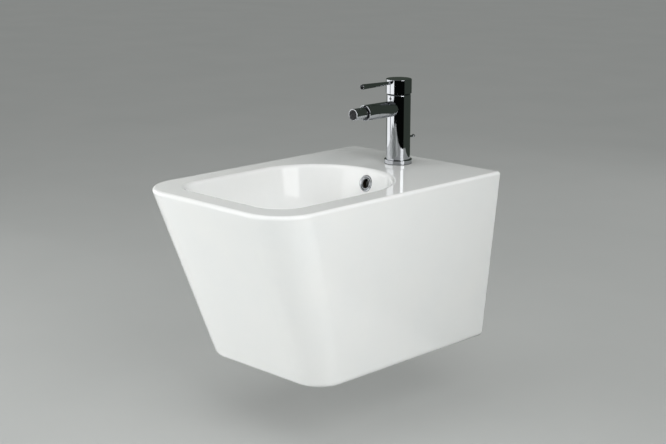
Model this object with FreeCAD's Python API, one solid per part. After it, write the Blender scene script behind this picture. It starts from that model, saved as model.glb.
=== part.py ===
import FreeCAD, Part
import math
import os

# Wall-hung bidet with a single-lever mixer, a swivelling nozzle and a pop-up waste.
# All sizes are in millimetres. +Z is up, +X is to the right when facing the wall, +Y goes into the wall.
# The wall is the plane Y = 0. Heights below are measured from the deck's top face, and each finished
# piece is raised by DECK_ABOVE_STUDS, so that the origin lies midway between the two wall studs.

# Clearances shared by many pieces
RUN_GAP = 0.3
BALL_GAP = 0.06
PIN_GAP = 0.05
DISC_GAP = 0.05

# How far a cut runs past the face that it opens, and how near two places count as the same
CUT_PAST = 1.0
SAME = 1e-4

# Ceramic body, outside
DECK_ABOVE_STUDS = 90.0
BODY_WIDTH = 366.0
BODY_DEPTH = 540.0
BODY_HEIGHT = 316.0
SIDE_TAPER = 2.5
SIDE_LEAN = 32.5
FRONT_LEAN = 119.0
CORNER_TOP_R = 73.0
CORNER_BOTTOM_R = 54.0
TOP_ARRIS_R = 5.5
BOTTOM_EDGE_R = 11.0

# Ceramic body, inside
SKIRT_WALL = 11.0
BACK_WALL = 16.0
DECK_THICKNESS = 13.0
SERVICE_WIDTH = 150.0
SERVICE_TOP = 170.0
SERVICE_CORNER_R = 30.0
SERVICE_EDGE_R = 2.5

# Bowl
OPENING_WIDTH = 267.0
RIM_FRONT = 46.0
OPENING_REAR = 153.0
OPENING_CORNER_R = 50.0
RIM_ARRIS_R = 8.0
BOWL_DEPTH = 135.0
BOWL_DRAFT = 32.0
FLOOR_CORNER_R = 80.0
BOWL_FLOOR_R = 42.0
BOWL_WALL = 10.0

# Drain in the bowl's floor
DRAIN_FROM_WALL = 265.0
SUMP_R = 46.0
SUMP_DROP = 3.0
NECK_R = 40.0
NECK_DROP = 38.0
DRAIN_HOLE_R = 23.0

# Overflow
OVERFLOW_DROP = 26.0
OVERFLOW_HOLE_R = 11.0
OVERFLOW_SEAT = 1.2
OVERFLOW_RING_R = 15.0
OVERFLOW_RING_T = 2.5
OVERFLOW_EDGE_R = 1.0
OVERFLOW_BORE_R = 8.2
OVERFLOW_SLEEVE = 8.0
DUCT_WIDTH = 36.0
DUCT_GAP = 14.0
DUCT_WALL = 6.0
DUCT_TOP = 15.0
DUCT_ROOF = 2.0

# Wall fixings
STUD_SPACING = 180.0
STUD_R = 6.0
STUD_SHANK_R = 5.5
STUD_NECK = 2.0
STUD_IN_WALL = 60.0
STUD_TAIL = 6.0
SLEEVE_R = 9.0
SLEEVE_FLANGE_R = 14.0
SLEEVE_FLANGE_T = 3.0
SLEEVE_RECESS = 0.6
FIXING_HOLE_GAP = 0.3
STUD_WASHER_R = 15.0
STUD_WASHER_T = 2.5
STUD_NUT_FLATS = 18.0
STUD_NUT_T = 10.0

# Mixer body and its base
TAP_FROM_WALL = 74.0
TAP_HOLE_R = 17.5
MIXER_R = 22.0
MIXER_TOP = 128.3
MIXER_TOP_EDGE_R = 3.0
BASE_SEAL_T = 1.0
BASE_RING_R = 25.6
BASE_RING_T = 7.5
BASE_RING_EDGE_R = 1.5
SPIGOT_R = 16.8
SPIGOT_DROP = 5.0
INDICATOR_Z = 120.7
INDICATOR_R = 2.35
INDICATOR_T = 3.0
INDICATOR_PROUD = 0.3

# Water ways
INLET_X = 8.0
INLET_BACK = 2.5
INLET_R = 5.0
INLET_THREAD = 12.0
INLET_LEAD_R = 5.6
INLET_LEAD_TOP = 1.0
INLET_DRILL_R = 4.5
INLET_PORT = 10.0
CHANNEL_R = 3.0
OUTLET_REACH = 8.0
OUTLET_DROP = 8.0

# Fixing under the deck
MIXER_STUD_R = 4.0
MIXER_STUD_REACH = 10.0
MIXER_STUD_IN = 12.0
MIXER_STUD_END_GAP = 2.0
MIXER_STUD_DROP = 55.0
HORSESHOE_R = 24.0
HORSESHOE_SLOT = 29.0
HORSESHOE_SLOT_REACH = 4.5
CLAMP_GASKET_T = 3.0
CLAMP_WASHER_T = 2.5
MIXER_NUT_FLATS = 13.0
MIXER_NUT_T = 12.0

# Spout
SPOUT_Z = 102.3
SPOUT_R = 14.2
SPOUT_REACH = 90.0
SPOUT_ROOT = 16.5
SPOUT_BORE_R = 11.2
MOUTH_R = 13.15
MOUTH_DEPTH = 24.0

# Swivelling nozzle
BALL_BACK = 9.0
BALL_R = 11.0
BALL_BORE_R = 6.0
NOZZLE_NECK_R = 8.0
NOZZLE_R = 10.4
NOZZLE_INSIDE = 2.0
NOZZLE_PROUD = 29.2
NOZZLE_EDGE_R = 0.8
COLLAR_FROM = 1.7
COLLAR_TO = 4.8
LINER_R = 12.8
LINER_FROM = 1.2
LINER_TO = 6.5
NOZZLE_GASKET_T = 5.0
AERATOR_R = 9.2
AERATOR_T = 12.0
AERATOR_RECESS = 0.8
AERATOR_HOLE_R = 1.3
AERATOR_HOLE_RING_R = 5.6

# Cartridge
CHAMBER_R = 13.0
CHAMBER_FLOOR = 92.0
SHOULDER_Z = 113.0
NUT_R = 15.0
NUT_BORE_GAP = 0.3
NUT_TOP_DROP = 3.2
NUT_SLOT_WIDTH = 3.0
NUT_SLOT_DEPTH = 3.0
CARTRIDGE_R = 12.8
CARTRIDGE_BASE_T = 4.0
SEAL_WALL = 1.1
SEAL_T = 1.6
FIXED_DISC_R = 11.8
FIXED_DISC_T = 3.2
DISC_PORT_R = 2.6
HOUSING_BORE_GAP = 0.1
MOVING_DISC_R = 7.8
MOVING_DISC_T = 3.3
MOVING_POCKET_R = 4.6
MOVING_POCKET_T = 1.6
DRIVER_T = 4.6
DRIVER_FLOOR = 0.5
DRIVER_LEAD_IN = 1.2
CARRIER_R = 9.2
CARRIER_FLANGE_R = 11.4
CARRIER_FLANGE_T = 1.8
CARRIER_TOP = 123.0
HOUSING_NECK_R = 10.9
CARRIER_SLOT_GAP = 0.2
CARRIER_SLOT_LENGTH = 15.4

# Lever and its spindle
PIVOT_BELOW_CAP = 12.4
LEVER_TILT = 25.0
SPINDLE_X = 6.0
SPINDLE_Y = 8.0
SPINDLE_TOP = 146.0
SPINDLE_BAR_DROP = 5.5
SPINDLE_STEM_R = 1.8
SPINDLE_BALL_R = 2.2
SPINDLE_BALL_CLEAR = 0.2
SPINDLE_PIN_R = 1.5
CAP_GAP = 1.1
CAP_R = 23.45
CAP_SKIRT = 1.05
CAP_TOP = 155.6
CAP_TOP_EDGE_R = 1.5
CAP_CEILING = 143.0
CAP_BOSS_R = 8.0
CAP_BOSS_T = 10.0
LEVER_Z = 149.5
LEVER_ROOT_R = 3.0
LEVER_TIP_R = 4.8
LEVER_REACH = 97.0
LEVER_IN_CAP = 11.0
LEVER_EDGE_R = 0.4
GRUB_R = 2.5
GRUB_LENGTH = 5.0
GRUB_ABOVE_BOSS = 5.5

# Lift rod of the pop-up waste
KNOB_Z = 45.3
KNOB_STICK_R = 1.8
KNOB_BALL_R = 3.2
KNOB_REACH = 41.5
LIFT = 32.0
ROD_BACK = 13.0
ROD_R = 2.5
ROD_ABOVE_KNOB = 3.0
ROD_END_GAP = 1.0
CLAMP_X = 12.0
CLAMP_Y = 10.0
CLAMP_ABOVE = 19.0
CLAMP_BELOW = 7.0
CLAMP_ROD_ABOVE = 6.0
CLAMP_HOLE_R = 2.9
CLAMP_SCREW_R = 2.0
CLAMP_HEAD_R = 3.5
CLAMP_HEAD_T = 3.0
CLAMP_SCREW_ABOVE = 13.0

# Pop-up waste
FLANGE_R = 31.5
FLANGE_T = 3.0
FLANGE_EDGE_R = 1.2
FLANGE_SEAT_GAP = 0.8
FLANGE_GASKET_T = 1.5
FLANGE_MOUTH_R = 24.0
FLANGE_CONE = 5.0
TUBE_R = 20.95
TUBE_BORE_R = 17.2
TUBE_IN_BODY = 18.0
TUBE_WINDOW = 18.0
NECK_GASKET_T = 5.0
NECK_GASKET_R = 34.0
NECK_GASKET_GAP = 0.3
COLLAR_T = 6.0
BARREL_R = 25.5
BARREL_DROP = 46.0
THREAD_DEPTH = 20.0
TAIL_LENGTH = 32.0
PIVOT_DROP = 33.0
PIVOT_REACH = 32.0
PIVOT_BALL_R = 5.5
PIVOT_ROD_R = 2.0
PIVOT_ROD_INSIDE = 4.0
PIVOT_ROD_PAST = 9.0
PORT_R = 10.0
PORT_REACH = 40.0
PORT_POCKET_R = 7.2
PORT_POCKET_REACH = 27.0
PORT_HOLE_R = 4.4
SEAT_BORE_R = 3.4
SEAT_SPLIT = 0.5
SEAT_OUTER_T = 4.0
PORT_NUT_R = 13.0
PORT_NUT_LAP = 6.0
PORT_NUT_WALL = 3.0
PORT_NUT_PLUG_GAP = 0.2
PORT_NUT_HOLE_R = 4.2
PLUG_HEAD_R = 22.5
PLUG_HEAD_T = 4.5
PLUG_EDGE_R = 3.0
PLUG_SINK = 0.2
PLUG_SEAL_T = 1.6
PLUG_SEAL_WIDTH = 2.5
PLUG_STEM_R = 5.0
EYE_WIDTH = 14.0
EYE_T = 5.0
EYE_ABOVE = 12.0
EYE_BELOW = 7.0
EYE_R = 2.65

V = FreeCAD.Vector
RIGHT = V(1, 0, 0)
FORWARD = V(0, -1, 0)
UP = V(0, 0, 1)

# Levels and positions that follow from the sizes above
TAP_Y = -TAP_FROM_WALL
DRAIN_Y = -DRAIN_FROM_WALL
ROD_Y = TAP_Y + ROD_BACK
DECK_UNDER = -DECK_THICKNESS
CAP_BOTTOM = MIXER_TOP + CAP_GAP
PIVOT_Z = CAP_BOTTOM - PIVOT_BELOW_CAP
FLANGE_TOP = -(BOWL_DEPTH + SUMP_DROP)
FLANGE_UNDER = FLANGE_TOP - FLANGE_T
FLANGE_SEAT = FLANGE_UNDER - FLANGE_GASKET_T
NECK_UNDER = -(BOWL_DEPTH + NECK_DROP)
WASTE_TOP = NECK_UNDER - NECK_GASKET_T
PORT_Z = WASTE_TOP - PIVOT_DROP
PIVOT_Y = DRAIN_Y + PIVOT_REACH
OUTER_ARM = ROD_Y - PIVOT_Y
PLUG_TRAVEL = LIFT * PIVOT_REACH / OUTER_ARM
CLAMP_Z = PORT_Z - LIFT / 2
BALL_REACH = SPOUT_REACH - BALL_BACK


# Basic solids
def upright(r, z0, z1, y=0.0, x=0.0):
    return Part.makeCylinder(r, z1 - z0, V(x, y, z0), UP)


def upright_cone(r0, r1, z0, z1, y=0.0):
    return Part.makeCone(r0, r1, z1 - z0, V(0, y, z0), UP)


def along(r, reach0, reach1, z, y_axis, x=0.0):
    return Part.makeCylinder(r, reach1 - reach0, V(x, y_axis - reach0, z), FORWARD)


def across(r, x0, x1, y, z):
    return Part.makeCylinder(r, x1 - x0, V(x0, y, z), RIGHT)


def block(x_half, y0, y1, z0, z1):
    return Part.makeBox(2 * x_half, y1 - y0, z1 - z0, V(-x_half, y0, z0))


def ball(r, y, z):
    return Part.makeSphere(r, V(0, y, z))


def hexagon(flats, z0, z1, y, x=0.0):
    r = flats / math.sqrt(3)
    points = []
    for i in range(7):
        angle = i * math.pi / 3
        points.append(V(x + r * math.cos(angle), y + r * math.sin(angle), z0))
    return Part.Face(Part.makePolygon(points)).extrude(V(0, 0, z1 - z0))


def side_prism(points, half_width):
    corners = [V(-half_width, y, z) for y, z in points + points[:1]]
    return Part.Face(Part.makePolygon(corners)).extrude(V(2 * half_width, 0, 0))


def edges_at(shape, z):
    return [e for e in shape.Edges if abs(e.BoundBox.ZMin - z) < SAME and abs(e.BoundBox.ZMax - z) < SAME]


def edges_in_front(shape, y):
    return [e for e in shape.Edges if abs(e.BoundBox.YMax - y) < SAME]


def in_upright_plane(edge, y):
    return abs(edge.BoundBox.YMin - y) < SAME and abs(edge.BoundBox.YMax - y) < SAME


def save(name, *solids):
    shape = solids[0] if len(solids) == 1 else Part.makeCompound(solids)
    shape = shape.copy()
    shape.translate(V(0, 0, DECK_ABOVE_STUDS))
    shape.exportStep("parts/%s.step" % name)


# Outline of the body at a height: straight back, nearly parallel sides and a rounded front
def rounded_outline(corners, radii, z):
    starts = []
    ends = []
    middles = []
    count = len(corners)
    for i in range(count):
        here = V(corners[i][0], corners[i][1], z)
        back = V(corners[i - 1][0], corners[i - 1][1], z) - here
        ahead = V(corners[(i + 1) % count][0], corners[(i + 1) % count][1], z) - here
        half = back.getAngle(ahead) / 2
        back.normalize()
        ahead.normalize()
        inward = (back + ahead).normalize()
        run = radii[i] / math.tan(half)
        starts.append(here + back * run)
        ends.append(here + ahead * run)
        middles.append(here + inward * (radii[i] / math.sin(half) - radii[i]))
    edges = []
    for i in range(count):
        edges.append(Part.makeLine(ends[i - 1], starts[i]))
        if radii[i] > 0:
            edges.append(Part.Arc(starts[i], middles[i], ends[i]).toShape())
    return Part.Wire(edges)


def body_outline(z, wall=0.0, back=0.0):
    share = -z / BODY_HEIGHT
    front_y = -BODY_DEPTH + FRONT_LEAN * share + wall
    half = BODY_WIDTH / 2 - SIDE_LEAN * share - wall
    back_half = half - SIDE_TAPER * back / BODY_DEPTH
    front_half = half + SIDE_TAPER * front_y / BODY_DEPTH
    corner_r = CORNER_TOP_R + (CORNER_BOTTOM_R - CORNER_TOP_R) * share - wall
    corners = [(-back_half, -back), (back_half, -back), (front_half, front_y), (-front_half, front_y)]
    return rounded_outline(corners, [0, 0, corner_r, corner_r], z)


# Outline of the bowl at a height: a half circle at the rear and rounded corners at the front
def bowl_outline(z, grow=0.0):
    share = -z / BOWL_DEPTH
    half = OPENING_WIDTH / 2 - BOWL_DRAFT * share + grow
    front_y = -BODY_DEPTH + RIM_FRONT + BOWL_DRAFT * share - grow
    rear_y = bowl_rear(z) + grow
    r = OPENING_CORNER_R + (FLOOR_CORNER_R - OPENING_CORNER_R) * share + grow
    turn = r * (1 - math.sqrt(0.5))
    centre_y = rear_y - half
    right_rear = V(half, centre_y, z)
    right_front = V(half, front_y + r, z)
    front_right = V(half - r, front_y, z)
    front_left = V(r - half, front_y, z)
    left_front = V(-half, front_y + r, z)
    left_rear = V(-half, centre_y, z)
    return Part.Wire([
        Part.makeLine(right_rear, right_front),
        Part.Arc(right_front, V(half - turn, front_y + turn, z), front_right).toShape(),
        Part.makeLine(front_right, front_left),
        Part.Arc(front_left, V(turn - half, front_y + turn, z), left_front).toShape(),
        Part.makeLine(left_front, left_rear),
        Part.Arc(left_rear, V(0, rear_y, z), right_rear).toShape(),
    ])


def bowl_rear(z):
    return -OPENING_REAR + BOWL_DRAFT * z / BOWL_DEPTH


os.makedirs("parts", exist_ok=True)

# Ceramic body: a hollow skirt, open below, with a flat deck, a bowl, an overflow duct and a drain neck
past_wall = [body_outline(0, back=-CUT_PAST), body_outline(-BODY_HEIGHT, back=-CUT_PAST)]
in_wall = block(BODY_WIDTH, 0, 2 * CUT_PAST, -BODY_HEIGHT - CUT_PAST, CUT_PAST)
outside = Part.makeLoft(past_wall, True, True).cut(in_wall)
bottom_edges = [e for e in edges_at(outside, -BODY_HEIGHT) if not in_upright_plane(e, 0)]
outside = outside.makeFillet(BOTTOM_EDGE_R, bottom_edges)
back_edges = [e for e in outside.Edges if in_upright_plane(e, 0)]
back_sides = [e for e in back_edges if e.BoundBox.ZLength > BODY_HEIGHT / 2]
outside = outside.makeFillet(TOP_ARRIS_R, back_sides + edges_at(outside, 0))

hollow_bottom = -BODY_HEIGHT - CUT_PAST
hollow = Part.makeLoft(
    [body_outline(DECK_UNDER, SKIRT_WALL, BACK_WALL), body_outline(hollow_bottom, SKIRT_WALL, BACK_WALL)],
    True, True)
shell_floor = -BOWL_DEPTH - BOWL_WALL
in_deck = DECK_UNDER / 2
shell_rings = [bowl_outline(in_deck, BOWL_WALL), bowl_outline(shell_floor, BOWL_WALL)]
bowl_shell = Part.makeLoft(shell_rings, True, True)
bowl_shell = bowl_shell.makeFillet(BOWL_FLOOR_R + BOWL_WALL, edges_at(bowl_shell, shell_floor))
bowl_space = Part.makeLoft([bowl_outline(CUT_PAST), bowl_outline(-BOWL_DEPTH)], True, True)
bowl_space = bowl_space.makeFillet(BOWL_FLOOR_R, edges_at(bowl_space, -BOWL_DEPTH))

in_floor = shell_floor + BOWL_WALL / 2
duct_high = shell_floor - DUCT_ROOF
duct_low = duct_high - DUCT_GAP
duct_back = BOWL_WALL + DUCT_GAP
duct_block = side_prism([
    (bowl_rear(in_deck) + BOWL_WALL / 2, in_deck),
    (bowl_rear(in_deck) + duct_back + DUCT_WALL, in_deck),
    (bowl_rear(duct_low) + duct_back + DUCT_WALL, duct_low - DUCT_WALL),
    (DRAIN_Y + DRAIN_HOLE_R + DUCT_WALL, duct_low - DUCT_WALL),
    (DRAIN_Y + DRAIN_HOLE_R + DUCT_WALL, in_floor),
    (bowl_rear(in_floor) - BOWL_FLOOR_R, in_floor),
    (bowl_rear(in_floor + BOWL_FLOOR_R) + BOWL_WALL / 2, in_floor + BOWL_FLOOR_R),
], DUCT_WIDTH / 2 + DUCT_WALL)
duct_way = side_prism([
    (bowl_rear(-DUCT_TOP) + BOWL_WALL, -DUCT_TOP),
    (bowl_rear(-DUCT_TOP) + duct_back, -DUCT_TOP),
    (bowl_rear(duct_low) + duct_back, duct_low),
    (DRAIN_Y, duct_low),
    (DRAIN_Y, duct_high),
    (bowl_rear(duct_high) + BOWL_WALL, duct_high),
], DUCT_WIDTH / 2)
neck = upright(NECK_R, NECK_UNDER, in_floor, DRAIN_Y)

overflow_lean = math.atan2(BOWL_DRAFT, BOWL_DEPTH)
overflow_axis = V(0, -math.cos(overflow_lean), math.sin(overflow_lean))
overflow_point = V(0, bowl_rear(-OVERFLOW_DROP), -OVERFLOW_DROP)


def overflow_round(r, t0, t1):
    return Part.makeCylinder(r, t1 - t0, overflow_point + overflow_axis * t0, overflow_axis)


service_front = -BACK_WALL - CUT_PAST
service_square = -SERVICE_TOP - SERVICE_CORNER_R
corner_x = SERVICE_WIDTH / 2 - SERVICE_CORNER_R
service_way = block(SERVICE_WIDTH / 2, service_front, CUT_PAST, hollow_bottom, service_square)
service_way = service_way.fuse(block(corner_x, service_front, CUT_PAST, hollow_bottom, -SERVICE_TOP))
for x in (-corner_x, corner_x):
    corner = along(SERVICE_CORNER_R, -CUT_PAST, BACK_WALL + CUT_PAST, service_square, 0, x)
    service_way = service_way.fuse(corner)

stud_xs = (-STUD_SPACING / 2, STUD_SPACING / 2)
stud_z = -DECK_ABOVE_STUDS

body = outside.cut(hollow)
body = body.fuse([bowl_shell.common(outside), duct_block, neck])
body = body.removeSplitter()
body = body.cut(bowl_space)
rim_edges = []
for edge in edges_at(body, 0):
    box = edge.BoundBox
    if box.YMin > RIM_FRONT - BODY_DEPTH - SAME and max(-box.XMin, box.XMax) < OPENING_WIDTH / 2 + SAME:
        rim_edges.append(edge)
body = body.makeFillet(RIM_ARRIS_R, rim_edges)
body = body.cut([
    upright_cone(FLANGE_R + FLANGE_SEAT_GAP, SUMP_R, FLANGE_TOP, -BOWL_DEPTH, DRAIN_Y),
    upright(FLANGE_R + FLANGE_SEAT_GAP, FLANGE_SEAT, FLANGE_TOP, DRAIN_Y),
    upright(DRAIN_HOLE_R, NECK_UNDER - CUT_PAST, FLANGE_SEAT + CUT_PAST, DRAIN_Y),
    duct_way,
    overflow_round(OVERFLOW_HOLE_R, -BOWL_WALL - DUCT_GAP / 2, 0),
    overflow_round(OVERFLOW_RING_R + RUN_GAP, -OVERFLOW_SEAT, OVERFLOW_RING_R),
    upright(TAP_HOLE_R, DECK_UNDER - CUT_PAST, CUT_PAST, TAP_Y),
    service_way,
])
for x in stud_xs:
    hole = along(SLEEVE_R + FIXING_HOLE_GAP, -CUT_PAST, BACK_WALL + CUT_PAST, stud_z, 0, x)
    body = body.cut(hole)
service_edges = []
for edge in body.Edges:
    box = edge.BoundBox
    in_opening = max(-box.XMin, box.XMax) < SERVICE_WIDTH / 2 + SAME and box.ZMax < SAME - SERVICE_TOP
    if in_opening and (in_upright_plane(edge, 0) or in_upright_plane(edge, -BACK_WALL)):
        service_edges.append(edge)
body = body.makeFillet(SERVICE_EDGE_R, service_edges)
save("ceramic_body", body)

# Overflow ring: a flanged sleeve pressed into the hole in the bowl's rear wall
ring_front = OVERFLOW_RING_T - OVERFLOW_SEAT
ring = overflow_round(OVERFLOW_RING_R, -OVERFLOW_SEAT, ring_front)
front_edges = []
for edge in ring.Edges:
    reach = (edge.CenterOfMass - overflow_point).dot(overflow_axis)
    if abs(reach - ring_front) < SAME:
        front_edges.append(edge)
ring = ring.makeFillet(OVERFLOW_EDGE_R, front_edges)
sleeve_end = -OVERFLOW_SEAT - OVERFLOW_SLEEVE
ring = ring.fuse(overflow_round(OVERFLOW_HOLE_R - PIN_GAP, sleeve_end, -OVERFLOW_SEAT))
ring = ring.cut(overflow_round(OVERFLOW_BORE_R, sleeve_end - CUT_PAST, ring_front + CUT_PAST))
save("overflow_ring", ring)

# Wall fixings: threaded studs, plastic sleeves in the holes of the back wall, washers and nuts
washer_reach = BACK_WALL + SLEEVE_FLANGE_T
nut_reach = washer_reach + STUD_WASHER_T
studs = []
sleeves = []
washers = []
nuts = []
for x in stud_xs:
    stud = along(STUD_R, -STUD_NECK - STUD_IN_WALL, -STUD_NECK, stud_z, 0, x)
    stud = stud.fuse(along(STUD_SHANK_R, -STUD_NECK, nut_reach + STUD_NUT_T + STUD_TAIL, stud_z, 0, x))
    studs.append(stud)
    sleeve = along(SLEEVE_R, SLEEVE_RECESS, BACK_WALL, stud_z, 0, x)
    sleeve = sleeve.fuse(along(SLEEVE_FLANGE_R, BACK_WALL, washer_reach, stud_z, 0, x))
    stud_way = along(STUD_SHANK_R, 0, nut_reach + CUT_PAST, stud_z, 0, x)
    sleeves.append(sleeve.cut(stud_way))
    washer = along(STUD_WASHER_R, washer_reach, nut_reach, stud_z, 0, x)
    washers.append(washer.cut(stud_way))
    nut = hexagon(STUD_NUT_FLATS, 0, STUD_NUT_T, 0)
    nut = nut.cut(upright(STUD_SHANK_R, -CUT_PAST, STUD_NUT_T + CUT_PAST))
    nut.rotate(V(0, 0, 0), RIGHT, 90)
    nut.translate(V(x, -nut_reach, stud_z))
    nuts.append(nut)
save("wall_studs", *studs)
save("stud_sleeves", *sleeves)
save("stud_washers", *washers)
save("stud_nuts", *nuts)

# Mixer body: a round casting with a cartridge chamber, two inlets, a spout socket and a slot for the knob
casting = upright(MIXER_R, BASE_SEAL_T, MIXER_TOP, TAP_Y)
casting = casting.makeFillet(MIXER_TOP_EDGE_R, edges_at(casting, MIXER_TOP))
casting = casting.fuse(upright(SPIGOT_R, -SPIGOT_DROP, BASE_SEAL_T, TAP_Y))
channel_start = V(0, TAP_Y - OUTLET_REACH, CHAMBER_FLOOR - OUTLET_DROP)
channel_end = V(0, TAP_Y - SPOUT_ROOT - CUT_PAST, SPOUT_Z - SPOUT_BORE_R + CHANNEL_R / 2)
channel_run = channel_end - channel_start
rod_bore_top = KNOB_Z + LIFT + ROD_ABOVE_KNOB + ROD_END_GAP
slot_half = KNOB_STICK_R + RUN_GAP
slot_rear = TAP_Y + MIXER_R + CUT_PAST
spigot_past = -SPIGOT_DROP - CUT_PAST
indicator_seat = MIXER_R + INDICATOR_PROUD - INDICATOR_T
casting_cuts = [
    upright(CHAMBER_R, CHAMBER_FLOOR, SHOULDER_Z, TAP_Y),
    upright(NUT_R, SHOULDER_Z, MIXER_TOP + CUT_PAST, TAP_Y),
    along(SPOUT_R, SPOUT_ROOT, MIXER_R + CUT_PAST, SPOUT_Z, TAP_Y),
    upright(CHANNEL_R, CHAMBER_FLOOR - OUTLET_DROP, CHAMBER_FLOOR + CUT_PAST, TAP_Y - OUTLET_REACH),
    Part.makeCylinder(CHANNEL_R, channel_run.Length, channel_start, channel_run),
    upright(MIXER_STUD_R, spigot_past, MIXER_STUD_IN + MIXER_STUD_END_GAP, TAP_Y - MIXER_STUD_REACH),
    upright(ROD_R + RUN_GAP, spigot_past, rod_bore_top, ROD_Y),
    block(slot_half, ROD_Y, slot_rear, KNOB_Z, KNOB_Z + LIFT),
    along(slot_half, TAP_Y - slot_rear, -ROD_BACK, KNOB_Z, TAP_Y),
    along(slot_half, TAP_Y - slot_rear, -ROD_BACK, KNOB_Z + LIFT, TAP_Y),
    along(INDICATOR_R, indicator_seat, MIXER_R + CUT_PAST, INDICATOR_Z, TAP_Y),
]
for x in (-INLET_X, INLET_X):
    inlet_y = TAP_Y + INLET_BACK
    thread_top = INLET_LEAD_TOP + INLET_THREAD
    drill_top = CHAMBER_FLOOR - INLET_PORT
    casting_cuts.append(upright(INLET_LEAD_R, spigot_past, INLET_LEAD_TOP, inlet_y, x))
    casting_cuts.append(upright(INLET_R, INLET_LEAD_TOP, thread_top, inlet_y, x))
    casting_cuts.append(upright(INLET_DRILL_R, INLET_LEAD_TOP, drill_top, inlet_y, x))
    casting_cuts.append(upright(CHANNEL_R, drill_top - CUT_PAST, CHAMBER_FLOOR + CUT_PAST, inlet_y, x))
casting = casting.cut(casting_cuts)
save("mixer_body", casting)

# Base ring and the seal under it
base_ring_top = BASE_SEAL_T + BASE_RING_T
base_ring = upright(BASE_RING_R, BASE_SEAL_T, base_ring_top, TAP_Y)
base_ring = base_ring.makeFillet(BASE_RING_EDGE_R, edges_at(base_ring, base_ring_top))
base_ring = base_ring.cut(upright(MIXER_R, 0, base_ring_top + CUT_PAST, TAP_Y))
save("base_ring", base_ring)
base_seal = upright(BASE_RING_R - RUN_GAP, 0, BASE_SEAL_T, TAP_Y)
base_seal = base_seal.cut(upright(SPIGOT_R, -CUT_PAST, BASE_SEAL_T + CUT_PAST, TAP_Y))
save("base_seal", base_seal)

# Temperature indicator: a small plug in the front of the mixer body
indicator_front = MIXER_R + INDICATOR_PROUD
indicator = along(INDICATOR_R, indicator_seat, indicator_front, INDICATOR_Z, TAP_Y)
save("indicator_plug", indicator)

# Fixing under the deck: a stud, a rubber horseshoe, a steel horseshoe and a long nut
stud_y = TAP_Y - MIXER_STUD_REACH
save("mixer_stud", upright(MIXER_STUD_R, -MIXER_STUD_DROP, MIXER_STUD_IN, stud_y))


def horseshoe(z0, z1):
    plate = upright(HORSESHOE_R, z0, z1, TAP_Y)
    slot_front = TAP_Y - HORSESHOE_SLOT_REACH
    slot_back = TAP_Y + HORSESHOE_R + CUT_PAST
    plate = plate.cut(block(HORSESHOE_SLOT / 2, slot_front, slot_back, z0 - CUT_PAST, z1 + CUT_PAST))
    return plate.cut(upright(MIXER_STUD_R, z0 - CUT_PAST, z1 + CUT_PAST, stud_y))


gasket_under = DECK_UNDER - CLAMP_GASKET_T
washer_under = gasket_under - CLAMP_WASHER_T
save("clamp_gasket", horseshoe(gasket_under, DECK_UNDER))
save("clamp_washer", horseshoe(washer_under, gasket_under))
nut_under = washer_under - MIXER_NUT_T
long_nut = hexagon(MIXER_NUT_FLATS, nut_under, washer_under, stud_y)
long_nut = long_nut.cut(upright(MIXER_STUD_R, nut_under - CUT_PAST, washer_under + CUT_PAST, stud_y))
save("mixer_nut", long_nut)

# Spout: a straight tube with a wider mouth, brazed into the front of the mixer body
spout = along(SPOUT_R, SPOUT_ROOT, SPOUT_REACH, SPOUT_Z, TAP_Y)
spout = spout.cut([
    along(SPOUT_BORE_R, SPOUT_ROOT - CUT_PAST, SPOUT_REACH + CUT_PAST, SPOUT_Z, TAP_Y),
    along(MOUTH_R, SPOUT_REACH - MOUTH_DEPTH, SPOUT_REACH + CUT_PAST, SPOUT_Z, TAP_Y),
])
save("mixer_spout", spout)

# Swivelling nozzle: a ball held between a gasket, a liner and a collar in the spout's mouth
ball_y = TAP_Y - BALL_REACH
seat_ball = ball(BALL_R + BALL_GAP, ball_y, SPOUT_Z)
collar = along(MOUTH_R, BALL_REACH + COLLAR_FROM, BALL_REACH + COLLAR_TO, SPOUT_Z, TAP_Y)
save("nozzle_collar", collar.cut(seat_ball))
gasket_reach = SPOUT_REACH - MOUTH_DEPTH
nozzle_gasket = along(MOUTH_R, gasket_reach, gasket_reach + NOZZLE_GASKET_T, SPOUT_Z, TAP_Y)
save("nozzle_gasket", nozzle_gasket.cut(along(SPOUT_BORE_R, 0, SPOUT_REACH, SPOUT_Z, TAP_Y)))
liner = ball(LINER_R, ball_y, SPOUT_Z)
liner = liner.common(along(LINER_R, BALL_REACH - LINER_TO, BALL_REACH - LINER_FROM, SPOUT_Z, TAP_Y))
save("nozzle_liner", liner.cut(seat_ball))

nozzle_rear = SPOUT_REACH - NOZZLE_INSIDE
nozzle_end = SPOUT_REACH + NOZZLE_PROUD
nozzle_shell = along(NOZZLE_R, nozzle_rear, nozzle_end, SPOUT_Z, TAP_Y)
nozzle_shell = nozzle_shell.makeFillet(NOZZLE_EDGE_R, edges_in_front(nozzle_shell, TAP_Y - nozzle_end))
nozzle = ball(BALL_R, ball_y, SPOUT_Z)
nozzle = nozzle.fuse([along(NOZZLE_NECK_R, BALL_REACH, nozzle_end, SPOUT_Z, TAP_Y), nozzle_shell])
aerator_rear = nozzle_end - AERATOR_RECESS - AERATOR_T
nozzle = nozzle.cut([
    along(BALL_BORE_R, BALL_REACH - BALL_R - CUT_PAST, nozzle_end, SPOUT_Z, TAP_Y),
    along(AERATOR_R, aerator_rear, nozzle_end + CUT_PAST, SPOUT_Z, TAP_Y),
])
save("nozzle", nozzle)

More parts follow.
